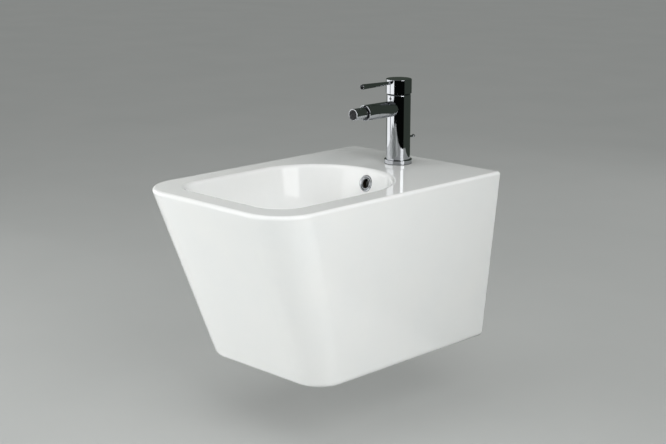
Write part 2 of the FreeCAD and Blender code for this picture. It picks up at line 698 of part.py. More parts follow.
# Aerator insert: a perforated plug in the end of the nozzle
aerator = along(AERATOR_R, aerator_rear, aerator_rear + AERATOR_T, SPOUT_Z, TAP_Y)
hole_from = aerator_rear - CUT_PAST
aerator_cuts = [along(AERATOR_HOLE_R, hole_from, nozzle_end, SPOUT_Z, TAP_Y)]
for i in range(6):
    angle = i * math.pi / 3
    hole_x = AERATOR_HOLE_RING_R * math.cos(angle)
    hole_z = SPOUT_Z + AERATOR_HOLE_RING_R * math.sin(angle)
    aerator_cuts.append(along(AERATOR_HOLE_R, hole_from, nozzle_end, hole_z, TAP_Y, hole_x))
save("aerator_insert", aerator.cut(aerator_cuts))

# Cartridge: base with seals, fixed and moving ceramic discs, driver, housing, swivelling carrier and nut
ports = [(-INLET_X, TAP_Y + INLET_BACK), (INLET_X, TAP_Y + INLET_BACK), (0, TAP_Y - OUTLET_REACH)]
base_top = CHAMBER_FLOOR + CARTRIDGE_BASE_T
disc_top = base_top + FIXED_DISC_T
cartridge_base = upright(CARTRIDGE_R, CHAMBER_FLOOR, base_top, TAP_Y)
fixed_disc = upright(FIXED_DISC_R, base_top, disc_top, TAP_Y)
seals = []
for x, y in ports:
    seal_space = upright(CHANNEL_R + SEAL_WALL, CHAMBER_FLOOR, CHAMBER_FLOOR + SEAL_T, y, x)
    port_way = upright(CHANNEL_R, CHAMBER_FLOOR - CUT_PAST, base_top + CUT_PAST, y, x)
    cartridge_base = cartridge_base.cut([seal_space, port_way])
    seals.append(seal_space.cut(port_way))
    fixed_disc = fixed_disc.cut(upright(DISC_PORT_R, base_top - CUT_PAST, disc_top + CUT_PAST, y, x))
save("cartridge_base", cartridge_base)
save("cartridge_seals", *seals)
save("fixed_disc", fixed_disc)

moving_z = disc_top + DISC_GAP
driver_z = moving_z + MOVING_DISC_T
driver_top = driver_z + DRIVER_T
spindle_ball_z = driver_z + DRIVER_FLOOR + SPINDLE_BALL_CLEAR + SPINDLE_BALL_R
disc_travel = (PIVOT_Z - spindle_ball_z) * math.sin(math.radians(LEVER_TILT))
disc_y = TAP_Y + disc_travel / 2
moving_disc = upright(MOVING_DISC_R, moving_z, driver_z, disc_y)
pocket = upright(MOVING_POCKET_R, moving_z - CUT_PAST, moving_z + MOVING_POCKET_T, disc_y)
save("moving_disc", moving_disc.cut(pocket))
socket_r = SPINDLE_BALL_R + RUN_GAP
driver = upright(MOVING_DISC_R, driver_z, driver_top, disc_y)
driver = driver.cut([
    upright(socket_r, driver_z + DRIVER_FLOOR, driver_top + CUT_PAST, TAP_Y),
    upright_cone(socket_r, socket_r + DRIVER_LEAD_IN, driver_top - DRIVER_LEAD_IN, driver_top, TAP_Y),
])
save("disc_driver", driver)

flange_z = driver_top + RUN_GAP
flange_top = flange_z + CARRIER_FLANGE_T
plate_z = flange_top + RUN_GAP
housing_top = CARRIER_TOP + RUN_GAP
housing = upright(CARTRIDGE_R, base_top, SHOULDER_Z, TAP_Y)
housing = housing.fuse(upright(HOUSING_NECK_R, SHOULDER_Z, housing_top, TAP_Y))
housing = housing.cut([
    upright(FIXED_DISC_R + HOUSING_BORE_GAP, base_top - CUT_PAST, plate_z, TAP_Y),
    upright(CARRIER_R + RUN_GAP, plate_z - CUT_PAST, housing_top + CUT_PAST, TAP_Y),
])
save("cartridge_housing", housing)

carrier = upright(CARRIER_FLANGE_R, flange_z, flange_top, TAP_Y)
carrier = carrier.fuse(upright(CARRIER_R, flange_top, CARRIER_TOP, TAP_Y))
slot_x = SPINDLE_X / 2 + CARRIER_SLOT_GAP
slot_y = CARRIER_SLOT_LENGTH / 2
carrier = carrier.cut([
    block(slot_x, TAP_Y - slot_y, TAP_Y + slot_y, flange_z - CUT_PAST, CARRIER_TOP + CUT_PAST),
    across(SPINDLE_PIN_R, -CARRIER_R - CUT_PAST, CARRIER_R + CUT_PAST, TAP_Y, PIVOT_Z),
])
save("swivel_carrier", carrier)
pin_half = math.sqrt(CARRIER_R ** 2 - SPINDLE_PIN_R ** 2) - RUN_GAP
save("spindle_pin", across(SPINDLE_PIN_R, -pin_half, pin_half, TAP_Y, PIVOT_Z))

nut_top = MIXER_TOP - NUT_TOP_DROP
cartridge_nut = upright(NUT_R, SHOULDER_Z, nut_top, TAP_Y)
nut_past = nut_top + CUT_PAST
slot_y = NUT_SLOT_WIDTH / 2
nut_slot = block(NUT_R + CUT_PAST, TAP_Y - slot_y, TAP_Y + slot_y, nut_top - NUT_SLOT_DEPTH, nut_past)
nut_bore = upright(HOUSING_NECK_R + NUT_BORE_GAP, SHOULDER_Z - CUT_PAST, nut_past, TAP_Y)
save("cartridge_nut", cartridge_nut.cut([nut_bore, nut_slot]))

# Spindle: a flat bar on the pin, with a ball below that drives the discs
bar_bottom = PIVOT_Z - SPINDLE_BAR_DROP
spindle = block(SPINDLE_X / 2, TAP_Y - SPINDLE_Y / 2, TAP_Y + SPINDLE_Y / 2, bar_bottom, SPINDLE_TOP)
spindle = spindle.fuse([
    upright(SPINDLE_STEM_R, spindle_ball_z, bar_bottom, TAP_Y),
    ball(SPINDLE_BALL_R, TAP_Y, spindle_ball_z),
])
spindle = spindle.cut(across(SPINDLE_PIN_R + PIN_GAP, -SPINDLE_X, SPINDLE_X, TAP_Y, PIVOT_Z))
save("spindle", spindle)

# Handle: a cap over the mixer's top, a lever screwed into its front and a grub screw at its rear
boss_bottom = CAP_CEILING - CAP_BOSS_T
grub_z = boss_bottom + GRUB_ABOVE_BOSS
grub_out = SPINDLE_Y / 2 + GRUB_LENGTH
cap = upright(CAP_R, CAP_BOTTOM, CAP_TOP, TAP_Y)
cap = cap.makeFillet(CAP_TOP_EDGE_R, edges_at(cap, CAP_TOP))
cap = cap.cut(upright(CAP_R - CAP_SKIRT, CAP_BOTTOM - CUT_PAST, CAP_CEILING, TAP_Y))
cap = cap.fuse(upright(CAP_BOSS_R, boss_bottom, CAP_CEILING, TAP_Y)).removeSplitter()
cap = cap.cut([
    block(SPINDLE_X / 2, TAP_Y - SPINDLE_Y / 2, TAP_Y + SPINDLE_Y / 2, boss_bottom - CUT_PAST, SPINDLE_TOP),
    along(LEVER_ROOT_R, CAP_R - LEVER_IN_CAP, CAP_R + CUT_PAST, LEVER_Z, TAP_Y),
    along(GRUB_R, -CAP_R - CUT_PAST, -SPINDLE_Y / 2, grub_z, TAP_Y),
])
save("handle_cap", cap)
lever_root = along(LEVER_ROOT_R, CAP_R - LEVER_IN_CAP, CAP_R, LEVER_Z, TAP_Y)
lever_start = V(0, TAP_Y - CAP_R, LEVER_Z)
lever = Part.makeCone(LEVER_ROOT_R, LEVER_TIP_R, LEVER_REACH - CAP_R, lever_start, FORWARD)
lever = lever.makeFillet(LEVER_EDGE_R, edges_in_front(lever, TAP_Y - LEVER_REACH)).fuse(lever_root)
save("lever_rod", lever)
save("handle_screw", along(GRUB_R, -grub_out, -SPINDLE_Y / 2, grub_z, TAP_Y))

# Lift rod of the waste: a knob behind the mixer, a rod through its base and a clamp on the pivot rod
knob = along(KNOB_STICK_R, -KNOB_REACH, -ROD_BACK, KNOB_Z, TAP_Y)
knob = knob.fuse(ball(KNOB_BALL_R, TAP_Y + KNOB_REACH, KNOB_Z))
save("lift_knob", knob)
lift_rod = upright(ROD_R, CLAMP_Z + CLAMP_ROD_ABOVE, KNOB_Z + ROD_ABOVE_KNOB, ROD_Y)
save("lift_rod", lift_rod.cut(along(KNOB_STICK_R, -KNOB_REACH, -ROD_BACK, KNOB_Z, TAP_Y)))
clamp_rear = CLAMP_Y / 2
clamp_top = CLAMP_Z + CLAMP_ABOVE
clamp = block(CLAMP_X / 2, ROD_Y - clamp_rear, ROD_Y + clamp_rear, CLAMP_Z - CLAMP_BELOW, clamp_top)
clamp_screw_z = CLAMP_Z + CLAMP_SCREW_ABOVE
clamp = clamp.cut([
    upright(ROD_R, CLAMP_Z + CLAMP_ROD_ABOVE, clamp_top + CUT_PAST, ROD_Y),
    along(CLAMP_HOLE_R, -CLAMP_Y, CLAMP_Y, CLAMP_Z, ROD_Y),
    along(CLAMP_SCREW_R, -CLAMP_Y, 0, clamp_screw_z, ROD_Y),
])
save("rod_clamp", clamp)
clamp_screw = along(CLAMP_SCREW_R, -clamp_rear, 0, clamp_screw_z, ROD_Y)
clamp_screw = clamp_screw.cut(lift_rod)
head_rear = -clamp_rear - CLAMP_HEAD_T
clamp_screw = clamp_screw.fuse(along(CLAMP_HEAD_R, head_rear, -clamp_rear, clamp_screw_z, ROD_Y))
save("clamp_screw", clamp_screw)

# Pop-up waste, fixed pieces: flange with its tube, gaskets, cast body with the pivot port, seats and nut
flange_gasket = upright(FLANGE_R, FLANGE_SEAT, FLANGE_UNDER, DRAIN_Y)
gasket_bore = upright(DRAIN_HOLE_R, FLANGE_SEAT - CUT_PAST, FLANGE_UNDER + CUT_PAST, DRAIN_Y)
save("flange_gasket", flange_gasket.cut(gasket_bore))
flange = upright(FLANGE_R, FLANGE_UNDER, FLANGE_TOP, DRAIN_Y)
flange = flange.makeFillet(FLANGE_EDGE_R, edges_at(flange, FLANGE_TOP))
tube_end = WASTE_TOP - TUBE_IN_BODY
flange = flange.fuse(upright(TUBE_R, tube_end, FLANGE_UNDER, DRAIN_Y))
window_half = TUBE_WINDOW / 2
flange = flange.cut([
    upright(TUBE_BORE_R, tube_end - CUT_PAST, FLANGE_TOP + CUT_PAST, DRAIN_Y),
    upright_cone(TUBE_BORE_R, FLANGE_MOUTH_R, FLANGE_TOP - FLANGE_CONE, FLANGE_TOP, DRAIN_Y),
    block(window_half, DRAIN_Y - DRAIN_HOLE_R, DRAIN_Y + DRAIN_HOLE_R, duct_low, duct_high),
])
save("waste_flange", flange)
neck_gasket = upright(NECK_GASKET_R, WASTE_TOP, NECK_UNDER, DRAIN_Y)
gasket_bore = upright(TUBE_R + NECK_GASKET_GAP, WASTE_TOP - CUT_PAST, NECK_UNDER + CUT_PAST, DRAIN_Y)
save("neck_gasket", neck_gasket.cut(gasket_bore))

barrel_bottom = WASTE_TOP - BARREL_DROP
tail_bottom = barrel_bottom - TAIL_LENGTH
waste_body = upright(NECK_GASKET_R, WASTE_TOP - COLLAR_T, WASTE_TOP, DRAIN_Y)
waste_body = waste_body.fuse([
    upright(BARREL_R, barrel_bottom, WASTE_TOP - COLLAR_T, DRAIN_Y),
    upright(TUBE_R, tail_bottom, barrel_bottom, DRAIN_Y),
    along(PORT_R, -PORT_REACH, 0, PORT_Z, DRAIN_Y),
])
waste_body = waste_body.cut([
    upright(TUBE_R, WASTE_TOP - THREAD_DEPTH, WASTE_TOP + CUT_PAST, DRAIN_Y),
    upright(TUBE_BORE_R, tail_bottom - CUT_PAST, WASTE_TOP, DRAIN_Y),
    along(PORT_HOLE_R, -PORT_REACH, 0, PORT_Z, DRAIN_Y),
    along(PORT_POCKET_R, -PORT_REACH - CUT_PAST, -PORT_POCKET_REACH, PORT_Z, DRAIN_Y),
])
save("waste_body", waste_body)

pivot_ball_space = ball(PIVOT_BALL_R + BALL_GAP, PIVOT_Y, PORT_Z)
seat_bore = along(SEAT_BORE_R, -PORT_REACH, 0, PORT_Z, DRAIN_Y)
inner_seat = along(PORT_POCKET_R, SEAT_SPLIT - PIVOT_REACH, -PORT_POCKET_REACH, PORT_Z, DRAIN_Y)
save("pivot_seat", inner_seat.cut([pivot_ball_space, seat_bore]))
outer_seat_end = PIVOT_REACH + SEAT_SPLIT + SEAT_OUTER_T
outer_seat = along(PORT_POCKET_R, -outer_seat_end, -PIVOT_REACH - SEAT_SPLIT, PORT_Z, DRAIN_Y)
save("pivot_washer", outer_seat.cut([pivot_ball_space, seat_bore]))
port_nut_end = -PORT_REACH - PORT_NUT_WALL
port_nut = along(PORT_NUT_R, port_nut_end, PORT_NUT_LAP - PORT_REACH, PORT_Z, DRAIN_Y)
port_plug = along(PORT_POCKET_R - PORT_NUT_PLUG_GAP, -PORT_REACH, -outer_seat_end, PORT_Z, DRAIN_Y)
port_nut = port_nut.cut(along(PORT_R, -PORT_REACH, 0, PORT_Z, DRAIN_Y)).fuse(port_plug)
save("pivot_nut", port_nut.cut(along(PORT_NUT_HOLE_R, port_nut_end - CUT_PAST, 0, PORT_Z, DRAIN_Y)))

# Pivot rod: shown with its outer end down, which holds the plug up and the drain open
rod_length = OUTER_ARM + PIVOT_ROD_PAST
pivot_rod = along(PIVOT_ROD_R, -PIVOT_REACH - rod_length, PIVOT_ROD_INSIDE, PORT_Z, DRAIN_Y)
pivot_rod = pivot_rod.fuse(ball(PIVOT_BALL_R, PIVOT_Y, PORT_Z))
pivot_rod.rotate(V(0, PIVOT_Y, PORT_Z), RIGHT, -math.degrees(LIFT / 2 / OUTER_ARM))
save("pivot_rod", pivot_rod)

# Plug with its seal, raised by its full travel
head_under = FLANGE_TOP - PLUG_SINK + PLUG_TRAVEL
eye_z = PORT_Z + PLUG_TRAVEL / 2
seal_low = head_under - PLUG_SEAL_T
cone_slope = (FLANGE_MOUTH_R - TUBE_BORE_R) / FLANGE_CONE
seal_r = FLANGE_MOUTH_R - cone_slope * (PLUG_SINK + PLUG_SEAL_T) - RUN_GAP
plug = upright(PLUG_HEAD_R, head_under, head_under + PLUG_HEAD_T, DRAIN_Y)
plug = plug.makeFillet(PLUG_EDGE_R, edges_at(plug, head_under + PLUG_HEAD_T))
plug = plug.fuse([
    upright(seal_r - PLUG_SEAL_WIDTH, seal_low, head_under, DRAIN_Y),
    upright(PLUG_STEM_R, eye_z + EYE_ABOVE, seal_low, DRAIN_Y),
    block(EYE_WIDTH / 2, DRAIN_Y - EYE_T / 2, DRAIN_Y + EYE_T / 2, eye_z - EYE_BELOW, eye_z + EYE_ABOVE),
])
save("plug", plug.cut(along(EYE_R, -EYE_T, EYE_T, eye_z, DRAIN_Y)))
plug_seal = upright(seal_r, seal_low, head_under, DRAIN_Y)
seal_bore = upright(seal_r - PLUG_SEAL_WIDTH, seal_low - CUT_PAST, head_under + CUT_PAST, DRAIN_Y)
save("plug_seal", plug_seal.cut(seal_bore))
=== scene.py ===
import bpy
from math import cos, pi, radians, sin
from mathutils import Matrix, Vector


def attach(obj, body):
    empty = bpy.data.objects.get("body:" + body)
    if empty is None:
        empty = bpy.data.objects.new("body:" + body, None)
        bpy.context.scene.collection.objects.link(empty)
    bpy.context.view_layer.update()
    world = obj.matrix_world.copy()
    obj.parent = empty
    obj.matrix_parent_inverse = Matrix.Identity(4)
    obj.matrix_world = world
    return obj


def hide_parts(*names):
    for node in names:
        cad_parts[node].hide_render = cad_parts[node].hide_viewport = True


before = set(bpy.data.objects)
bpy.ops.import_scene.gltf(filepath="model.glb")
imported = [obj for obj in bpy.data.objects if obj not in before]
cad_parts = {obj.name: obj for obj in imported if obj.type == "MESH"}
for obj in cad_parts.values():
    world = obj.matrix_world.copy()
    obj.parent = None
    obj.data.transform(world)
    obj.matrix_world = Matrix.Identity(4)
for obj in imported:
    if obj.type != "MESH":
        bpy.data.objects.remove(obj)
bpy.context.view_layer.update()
bpy.ops.object.select_all(action="DESELECT")

# The body, slip-cast in one piece of vitreous china and fired with a thick white glaze. The glaze is wiped
# off where the body lies on the wall, so its back is bare.
GLAZE_WHITE = "f3f3f1"
GLAZE_COOL = "edefef"
BISCUIT = "ddd5c6"
GLAZE_RIPPLE = 0.011
GLAZE_RIPPLE_HEIGHT = 0.00003
GLAZE_CLOUD = 0.09
BISCUIT_GRIT = 0.002
BISCUIT_GRIT_HEIGHT = 0.0002
WIPED_FROM_WALL = 0.0004


def linear(code):
    """An sRGB hex colour as the linear colour that a shader takes."""
    parts = [int(code[i:i + 2], 16) / 255 for i in (0, 2, 4)]
    return tuple(c / 12.92 if c <= 0.04045 else ((c + 0.055) / 1.055) ** 2.4 for c in parts) + (1.0,)


def add_node(material, kind, settings, links):
    """Adds a shader node: settings name its properties or inputs, and links name the sockets that feed it."""
    node = material.node_tree.nodes.new(kind)
    for key, value in settings.items():
        if isinstance(key, str) and hasattr(node, key):
            setattr(node, key, value)
        else:
            node.inputs[key].default_value = value
    for key, socket in links.items():
        material.node_tree.links.new(socket, node.inputs[key])
    return node


def new_material(name):
    """An empty node material and the socket of its output."""
    material = bpy.data.materials.new(name)
    material.use_nodes = True
    material.node_tree.nodes.clear()
    return material, add_node(material, "ShaderNodeOutputMaterial", {}, {}).inputs["Surface"]


def dress(material, *nodes):
    """Gives CAD nodes a finish."""
    for name in nodes:
        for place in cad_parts[name].material_slots:
            place.material = material


# Glazed vitreous china: a hard, wet-looking white gloss that ripples very slightly, over a matt warm biscuit.
china, surface = new_material("glazed vitreous china")
place = add_node(china, "ShaderNodeTexCoord", {}, {})
cloud = add_node(china, "ShaderNodeTexNoise", {"Scale": 1 / GLAZE_CLOUD, "Detail": 2.0},
                 {"Vector": place.outputs["Object"]})
white = add_node(china, "ShaderNodeMix",
                 {"data_type": "RGBA", 6: linear(GLAZE_WHITE), 7: linear(GLAZE_COOL)},
                 {0: cloud.outputs["Fac"]})
ripple = add_node(china, "ShaderNodeTexNoise", {"Scale": 1 / GLAZE_RIPPLE, "Detail": 1.0},
                  {"Vector": place.outputs["Object"]})
bump = add_node(china, "ShaderNodeBump", {"Strength": 0.25, "Distance": GLAZE_RIPPLE_HEIGHT},
                {"Height": ripple.outputs["Fac"]})
gloss = add_node(china, "ShaderNodeMapRange", {"To Min": 0.015, "To Max": 0.045},
                 {"Value": cloud.outputs["Fac"]})
glaze = add_node(china, "ShaderNodeBsdfPrincipled", {"IOR": 1.52},
                 {"Base Color": white.outputs[2], "Roughness": gloss.outputs["Result"],
                  "Normal": bump.outputs["Normal"]})
grit = add_node(china, "ShaderNodeTexNoise", {"Scale": 1 / BISCUIT_GRIT, "Detail": 3.0},
                {"Vector": place.outputs["Object"]})
bare_bump = add_node(china, "ShaderNodeBump", {"Strength": 0.5, "Distance": BISCUIT_GRIT_HEIGHT},
                     {"Height": grit.outputs["Fac"]})
biscuit = add_node(china, "ShaderNodeBsdfPrincipled", {"Base Color": linear(BISCUIT), "Roughness": 0.85},
                   {"Normal": bare_bump.outputs["Normal"]})
axes = add_node(china, "ShaderNodeSeparateXYZ", {}, {0: place.outputs["Object"]})
wiped = add_node(china, "ShaderNodeMath", {"operation": "GREATER_THAN", 1: -WIPED_FROM_WALL},
                 {0: axes.outputs["Y"]})
coating = add_node(china, "ShaderNodeMixShader", {},
                   {0: wiped.outputs[0], 1: glaze.outputs[0], 2: biscuit.outputs[0]})
china.node_tree.links.new(coating.outputs[0], surface)
dress(china, "ceramic_body")

# Two studs carry the body: zinc-plated steel with rolled threads at both ends of a plain shank, screwed into
# the wall's frame before the body is hung on them.
STUD_SPREAD = 0.18
STUD_FRONT = -0.0375
STUD_LENGTH = 0.0995
WALL_THREAD_R = 0.006
WALL_THREAD_ROOT_R = 0.00505
WALL_THREAD_LENGTH = 0.06
SHANK_R = 0.0055
NUT_THREAD_ROOT_R = 0.00465
NUT_THREAD_LENGTH = 0.018
STUD_PITCH = 0.00175
STUD_CHAMFER = 0.001
SHANK_LAP = 0.001
THREAD_ROOT_FLAT = 1 / 8
THREAD_CREST_FROM = 7 / 16
THREAD_CREST_TO = 9 / 16
THREAD_STEPS = 24
THREAD_STARTS_BELOW = 1.5
THREAD_SPARE_TURNS = 3
CLEAR_OF_CREST = 1.02
CUT_PAST = 0.0001
MERGE_WITHIN = 1e-6
CUT_WITHIN = 1e-7
SMOOTH_BELOW = 32
ZINC = "c6c9c9"
ZINC_SHADE = "a9ada8"
ZINC_SPANGLE = 0.005
ZINC_ROUGH = (0.2, 0.42)


def draw_line(name, points):
    """A line of edges through these points, left in edit mode with all of it picked."""
    points = [Vector(point) for point in points]
    bpy.ops.object.select_all(action="DESELECT")
    bpy.ops.mesh.primitive_plane_add(size=0.001)
    piece = bpy.context.object
    piece.name = name
    bpy.ops.object.mode_set(mode="EDIT")
    bpy.ops.mesh.select_all(action="SELECT")
    bpy.ops.mesh.merge(type="CENTER")
    bpy.ops.transform.translate(value=points[0])
    for here, there in zip(points, points[1:]):
        bpy.ops.mesh.extrude_vertices_move(TRANSFORM_OT_translate={"value": there - here})
    bpy.ops.mesh.select_all(action="SELECT")
    bpy.ops.mesh.remove_doubles(threshold=MERGE_WITHIN)
    bpy.ops.mesh.select_all(action="SELECT")
    return piece


def close_up():
    """Merges what a spin or a screw leaves doubled, turns the faces outwards and leaves edit mode."""
    bpy.ops.mesh.select_all(action="SELECT")
    bpy.ops.mesh.remove_doubles(threshold=MERGE_WITHIN)
    bpy.ops.mesh.normals_make_consistent(inside=False)
    bpy.ops.object.mode_set(mode="OBJECT")


def turned(name, outline, steps=64):
    """A piece turned about Z: the outline is its radius and height at each point round its section."""
    piece = draw_line(name, [(radius, 0, height) for radius, height in outline])
    bpy.ops.mesh.spin(steps=steps, angle=2 * pi, center=(0, 0, 0), axis=(0, 0, 1))
    close_up()
    return piece


def work(piece, tool, way):
    """Cuts a piece with a tool, or keeps only what the two share, and takes the tool away."""
    bpy.context.view_layer.objects.active = piece
    cut = piece.modifiers.new(way, "BOOLEAN")
    cut.operation = way
    cut.object = tool
    cut.solver = "EXACT"
    bpy.ops.object.modifier_apply(modifier=cut.name)
    bpy.data.objects.remove(tool)


def threaded_rod(name, crest, root, pitch, length, chamfer):
    """A rod from the origin up along Z, with a rolled thread and chamfered ends."""
    low = -THREAD_STARTS_BELOW * pitch
    rod = draw_line(name, [
        (root, 0, low), (root, 0, low + pitch * THREAD_ROOT_FLAT),
        (crest, 0, low + pitch * THREAD_CREST_FROM), (crest, 0, low + pitch * THREAD_CREST_TO),
        (root, 0, low + pitch * (1 - THREAD_ROOT_FLAT)), (root, 0, low + pitch)])
    bpy.ops.object.mode_set(mode="OBJECT")
    helix = rod.modifiers.new("helix", "SCREW")
    helix.axis = "Z"
    helix.screw_offset = pitch
    helix.iterations = int(length / pitch) + THREAD_SPARE_TURNS
    helix.steps = helix.render_steps = THREAD_STEPS
    helix.use_merge_vertices = True
    helix.merge_threshold = MERGE_WITHIN
    bpy.ops.object.modifier_apply(modifier=helix.name)
    bpy.ops.object.mode_set(mode="EDIT")
    bpy.ops.mesh.select_all(action="SELECT")
    bpy.ops.mesh.remove_doubles(threshold=MERGE_WITHIN)
    bpy.ops.mesh.select_all(action="SELECT")
    bpy.ops.mesh.bisect(plane_co=(0, 0, 0), plane_no=(0, 0, 1), use_fill=True, clear_inner=True,
                        threshold=CUT_WITHIN)
    bpy.ops.mesh.select_all(action="SELECT")
    bpy.ops.mesh.bisect(plane_co=(0, 0, length), plane_no=(0, 0, 1), use_fill=True, clear_outer=True,
                        threshold=CUT_WITHIN)
    close_up()
    wide = crest * CLEAR_OF_CREST
    tip = crest - chamfer
    bar = turned("chamfer", [(0, -CUT_PAST), (tip, -CUT_PAST), (wide, chamfer), (wide, length - chamfer),
                             (tip, length + CUT_PAST), (0, length + CUT_PAST)], steps=48)
    work(rod, bar, "INTERSECT")
    return rod


def joined(piece, *more):
    """Makes one piece of several."""
    bpy.context.view_layer.update()
    bpy.ops.object.select_all(action="DESELECT")
    for part in (piece,) + more:
        part.select_set(True)
    bpy.context.view_layer.objects.active = piece
    bpy.ops.object.join()
    return piece


def fit(piece, spot, tilt, finish, body, node):
    """Sets a finished piece in its place, in the stead of a plainer solid, and ties it to its body."""
    piece.location = spot
    piece.rotation_euler = tilt
    bpy.context.view_layer.update()
    bpy.ops.object.select_all(action="DESELECT")
    piece.select_set(True)
    bpy.context.view_layer.objects.active = piece
    bpy.ops.object.transform_apply(location=True, rotation=True, scale=True)
    bpy.ops.object.shade_smooth_by_angle(angle=radians(SMOOTH_BELOW))
    piece.data.materials.clear()
    piece.data.materials.append(finish)
    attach(piece, body)
    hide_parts(node)


def copy_of(piece, name):
    """Another of the same, with a mesh of its own."""
    twin = piece.copy()
    twin.data = piece.data.copy()
    twin.name = name
    bpy.context.collection.objects.link(twin)
    return twin


def mottled(name, tones, grain, rough, settings, detail, relief=None):
    """A finish that changes from patch to patch: between two tones, between two roughnesses and, where it
    has a relief of some strength and height, between high and low."""
    finish, surface = new_material(name)
    place = add_node(finish, "ShaderNodeTexCoord", {}, {})
    patch = add_node(finish, "ShaderNodeTexNoise", {"Scale": 1 / grain, "Detail": detail},
                     {"Vector": place.outputs["Object"]})
    tone = add_node(finish, "ShaderNodeMix",
                    {"data_type": "RGBA", 6: linear(tones[0]), 7: linear(tones[1])},
                    {0: patch.outputs["Fac"]})
    dull = add_node(finish, "ShaderNodeMapRange", {"To Min": rough[0], "To Max": rough[1]},
                    {"Value": patch.outputs["Fac"]})
    links = {"Base Color": tone.outputs[2], "Roughness": dull.outputs["Result"]}
    if relief:
        bump = add_node(finish, "ShaderNodeBump", {"Strength": relief[0], "Distance": relief[1]},
                        {"Height": patch.outputs["Fac"]})
        links["Normal"] = bump.outputs["Normal"]
    shader = add_node(finish, "ShaderNodeBsdfPrincipled", settings, links)
    finish.node_tree.links.new(shader.outputs[0], surface)
    return finish


# Bright zinc plate on steel: a grey metal with a soft shine, clouded where the plating bath left its spangle.
zinc = mottled("bright zinc-plated steel", (ZINC, ZINC_SHADE), ZINC_SPANGLE, ZINC_ROUGH, {"Metallic": 1.0},
               detail=4.0)

ALONG_BACK = (-pi / 2, 0, 0)
stud = threaded_rod("wall_stud_left", SHANK_R, NUT_THREAD_ROOT_R, STUD_PITCH, NUT_THREAD_LENGTH, STUD_CHAMFER)
shank_from = NUT_THREAD_LENGTH - SHANK_LAP
wall_end_from = STUD_LENGTH - WALL_THREAD_LENGTH
shank = turned("shank", [(0, shank_from), (NUT_THREAD_ROOT_R, shank_from), (SHANK_R, NUT_THREAD_LENGTH),
                         (SHANK_R, wall_end_from + SHANK_LAP), (0, wall_end_from + SHANK_LAP)], steps=48)
wall_end = threaded_rod("wall end", WALL_THREAD_R, WALL_THREAD_ROOT_R, STUD_PITCH, WALL_THREAD_LENGTH,
                        STUD_CHAMFER)
wall_end.location.z = wall_end_from
stud = joined(stud, shank, wall_end)
right_stud = copy_of(stud, "wall_stud_right")
fit(stud, (-STUD_SPREAD / 2, STUD_FRONT, 0), ALONG_BACK, zinc, "bidet", "wall_studs")
fit(right_stud, (STUD_SPREAD / 2, STUD_FRONT, 0), ALONG_BACK, zinc, "bidet", "wall_studs")

# Pressed washers and hot-forged hexagon nuts, zinc-plated too, draw the body to the wall. The nuts are
# chamfered on both faces.
STUD_NUT_FLATS = 0.018
STUD_NUT_T = 0.010
STUD_NUT_FRONT = -0.0315
NUT_CHAMFER_SHARE = 0.6


def hexagon_nut(name, flats, thickness, bore):
    """A nut from the origin up along Z, chamfered on both faces, with two of its corners on X."""
    corner = flats / 3 ** 0.5
    bpy.ops.object.select_all(action="DESELECT")
    bpy.ops.mesh.primitive_cylinder_add(vertices=6, radius=corner, depth=thickness,
                                        location=(0, 0, thickness / 2), rotation=(0, 0, pi / 6))
    nut = bpy.context.object
    nut.name = name
    bpy.ops.object.transform_apply(location=True, rotation=True, scale=True)
    edge = (corner - flats / 2) * NUT_CHAMFER_SHARE
    blank = turned("blank", [(bore, 0), (flats / 2, 0), (corner, edge), (corner, thickness - edge),
                             (flats / 2, thickness), (bore, thickness), (bore, 0)], steps=48)
    work(nut, blank, "INTERSECT")
    return nut


dress(zinc, "stud_washers")
nut = hexagon_nut("stud_nut_left", STUD_NUT_FLATS, STUD_NUT_T, SHANK_R)
right_nut = copy_of(nut, "stud_nut_right")
fit(nut, (-STUD_SPREAD / 2, STUD_NUT_FRONT, 0), ALONG_BACK, zinc, "bidet", "stud_nuts")
fit(right_nut, (STUD_SPREAD / 2, STUD_NUT_FRONT, 0), ALONG_BACK, zinc, "bidet", "stud_nuts")

# Flanged sleeves line the holes in the back wall, so that steel never bears on china. They are injection
# moulded in natural polyamide, as are the cartridge's frame and the small seats in the nozzle and the waste.
POLYAMIDE = "e7e4da"
POLYAMIDE_SHADE = "dcd8cb"
POLYAMIDE_GRAIN = 0.0012
POLYAMIDE_ROUGH = (0.35, 0.5)
POLYAMIDE_RELIEF = (0.3, 0.00005)

# Natural polyamide: warm off-white, a little waxy, with the fine dull grain of a spark-eroded mould.
polyamide = mottled("moulded natural polyamide", (POLYAMIDE, POLYAMIDE_SHADE), POLYAMIDE_GRAIN,
                    POLYAMIDE_ROUGH, {"IOR": 1.53}, detail=2.0, relief=POLYAMIDE_RELIEF)
dress(polyamide, "stud_sleeves")

# The drain: a turned brass flange with its tube drops into the bowl's outlet and is chromium plated where it
# shows. The same plate is on every metal piece that a user sees or touches.
PLATE = "babcbf"
PLATE_SHADE = "b0b3b7"
PLATE_HAZE = 0.018
PLATE_ROUGH = (0.02, 0.07)

# Polished chromium plate over nickel: a hard bright mirror with the faintest haze in patches.
chrome = mottled("polished chromium plate", (PLATE, PLATE_SHADE), PLATE_HAZE, PLATE_ROUGH, {"Metallic": 1.0},
                 detail=3.0)
dress(chrome, "waste_flange")

# Gaskets above and below the china seal the drain. They are punched and moulded in black EPDM rubber, as are
# the plug's lip and the seals of the mixer.
RUBBER = "1c1d1e"
RUBBER_BLOOM = "2b2c2d"
RUBBER_GRAIN = 0.0015
RUBBER_ROUGH = (0.6, 0.8)
RUBBER_RELIEF = (0.4, 0.00006)

# EPDM rubber: near black and matt, paler in patches where wax has bloomed to the surface.
rubber = mottled("black epdm rubber", (RUBBER, RUBBER_BLOOM), RUBBER_GRAIN, RUBBER_ROUGH, {"IOR": 1.5},
                 detail=4.0, relief=RUBBER_RELIEF)
dress(rubber, "flange_gasket", "neck_gasket")

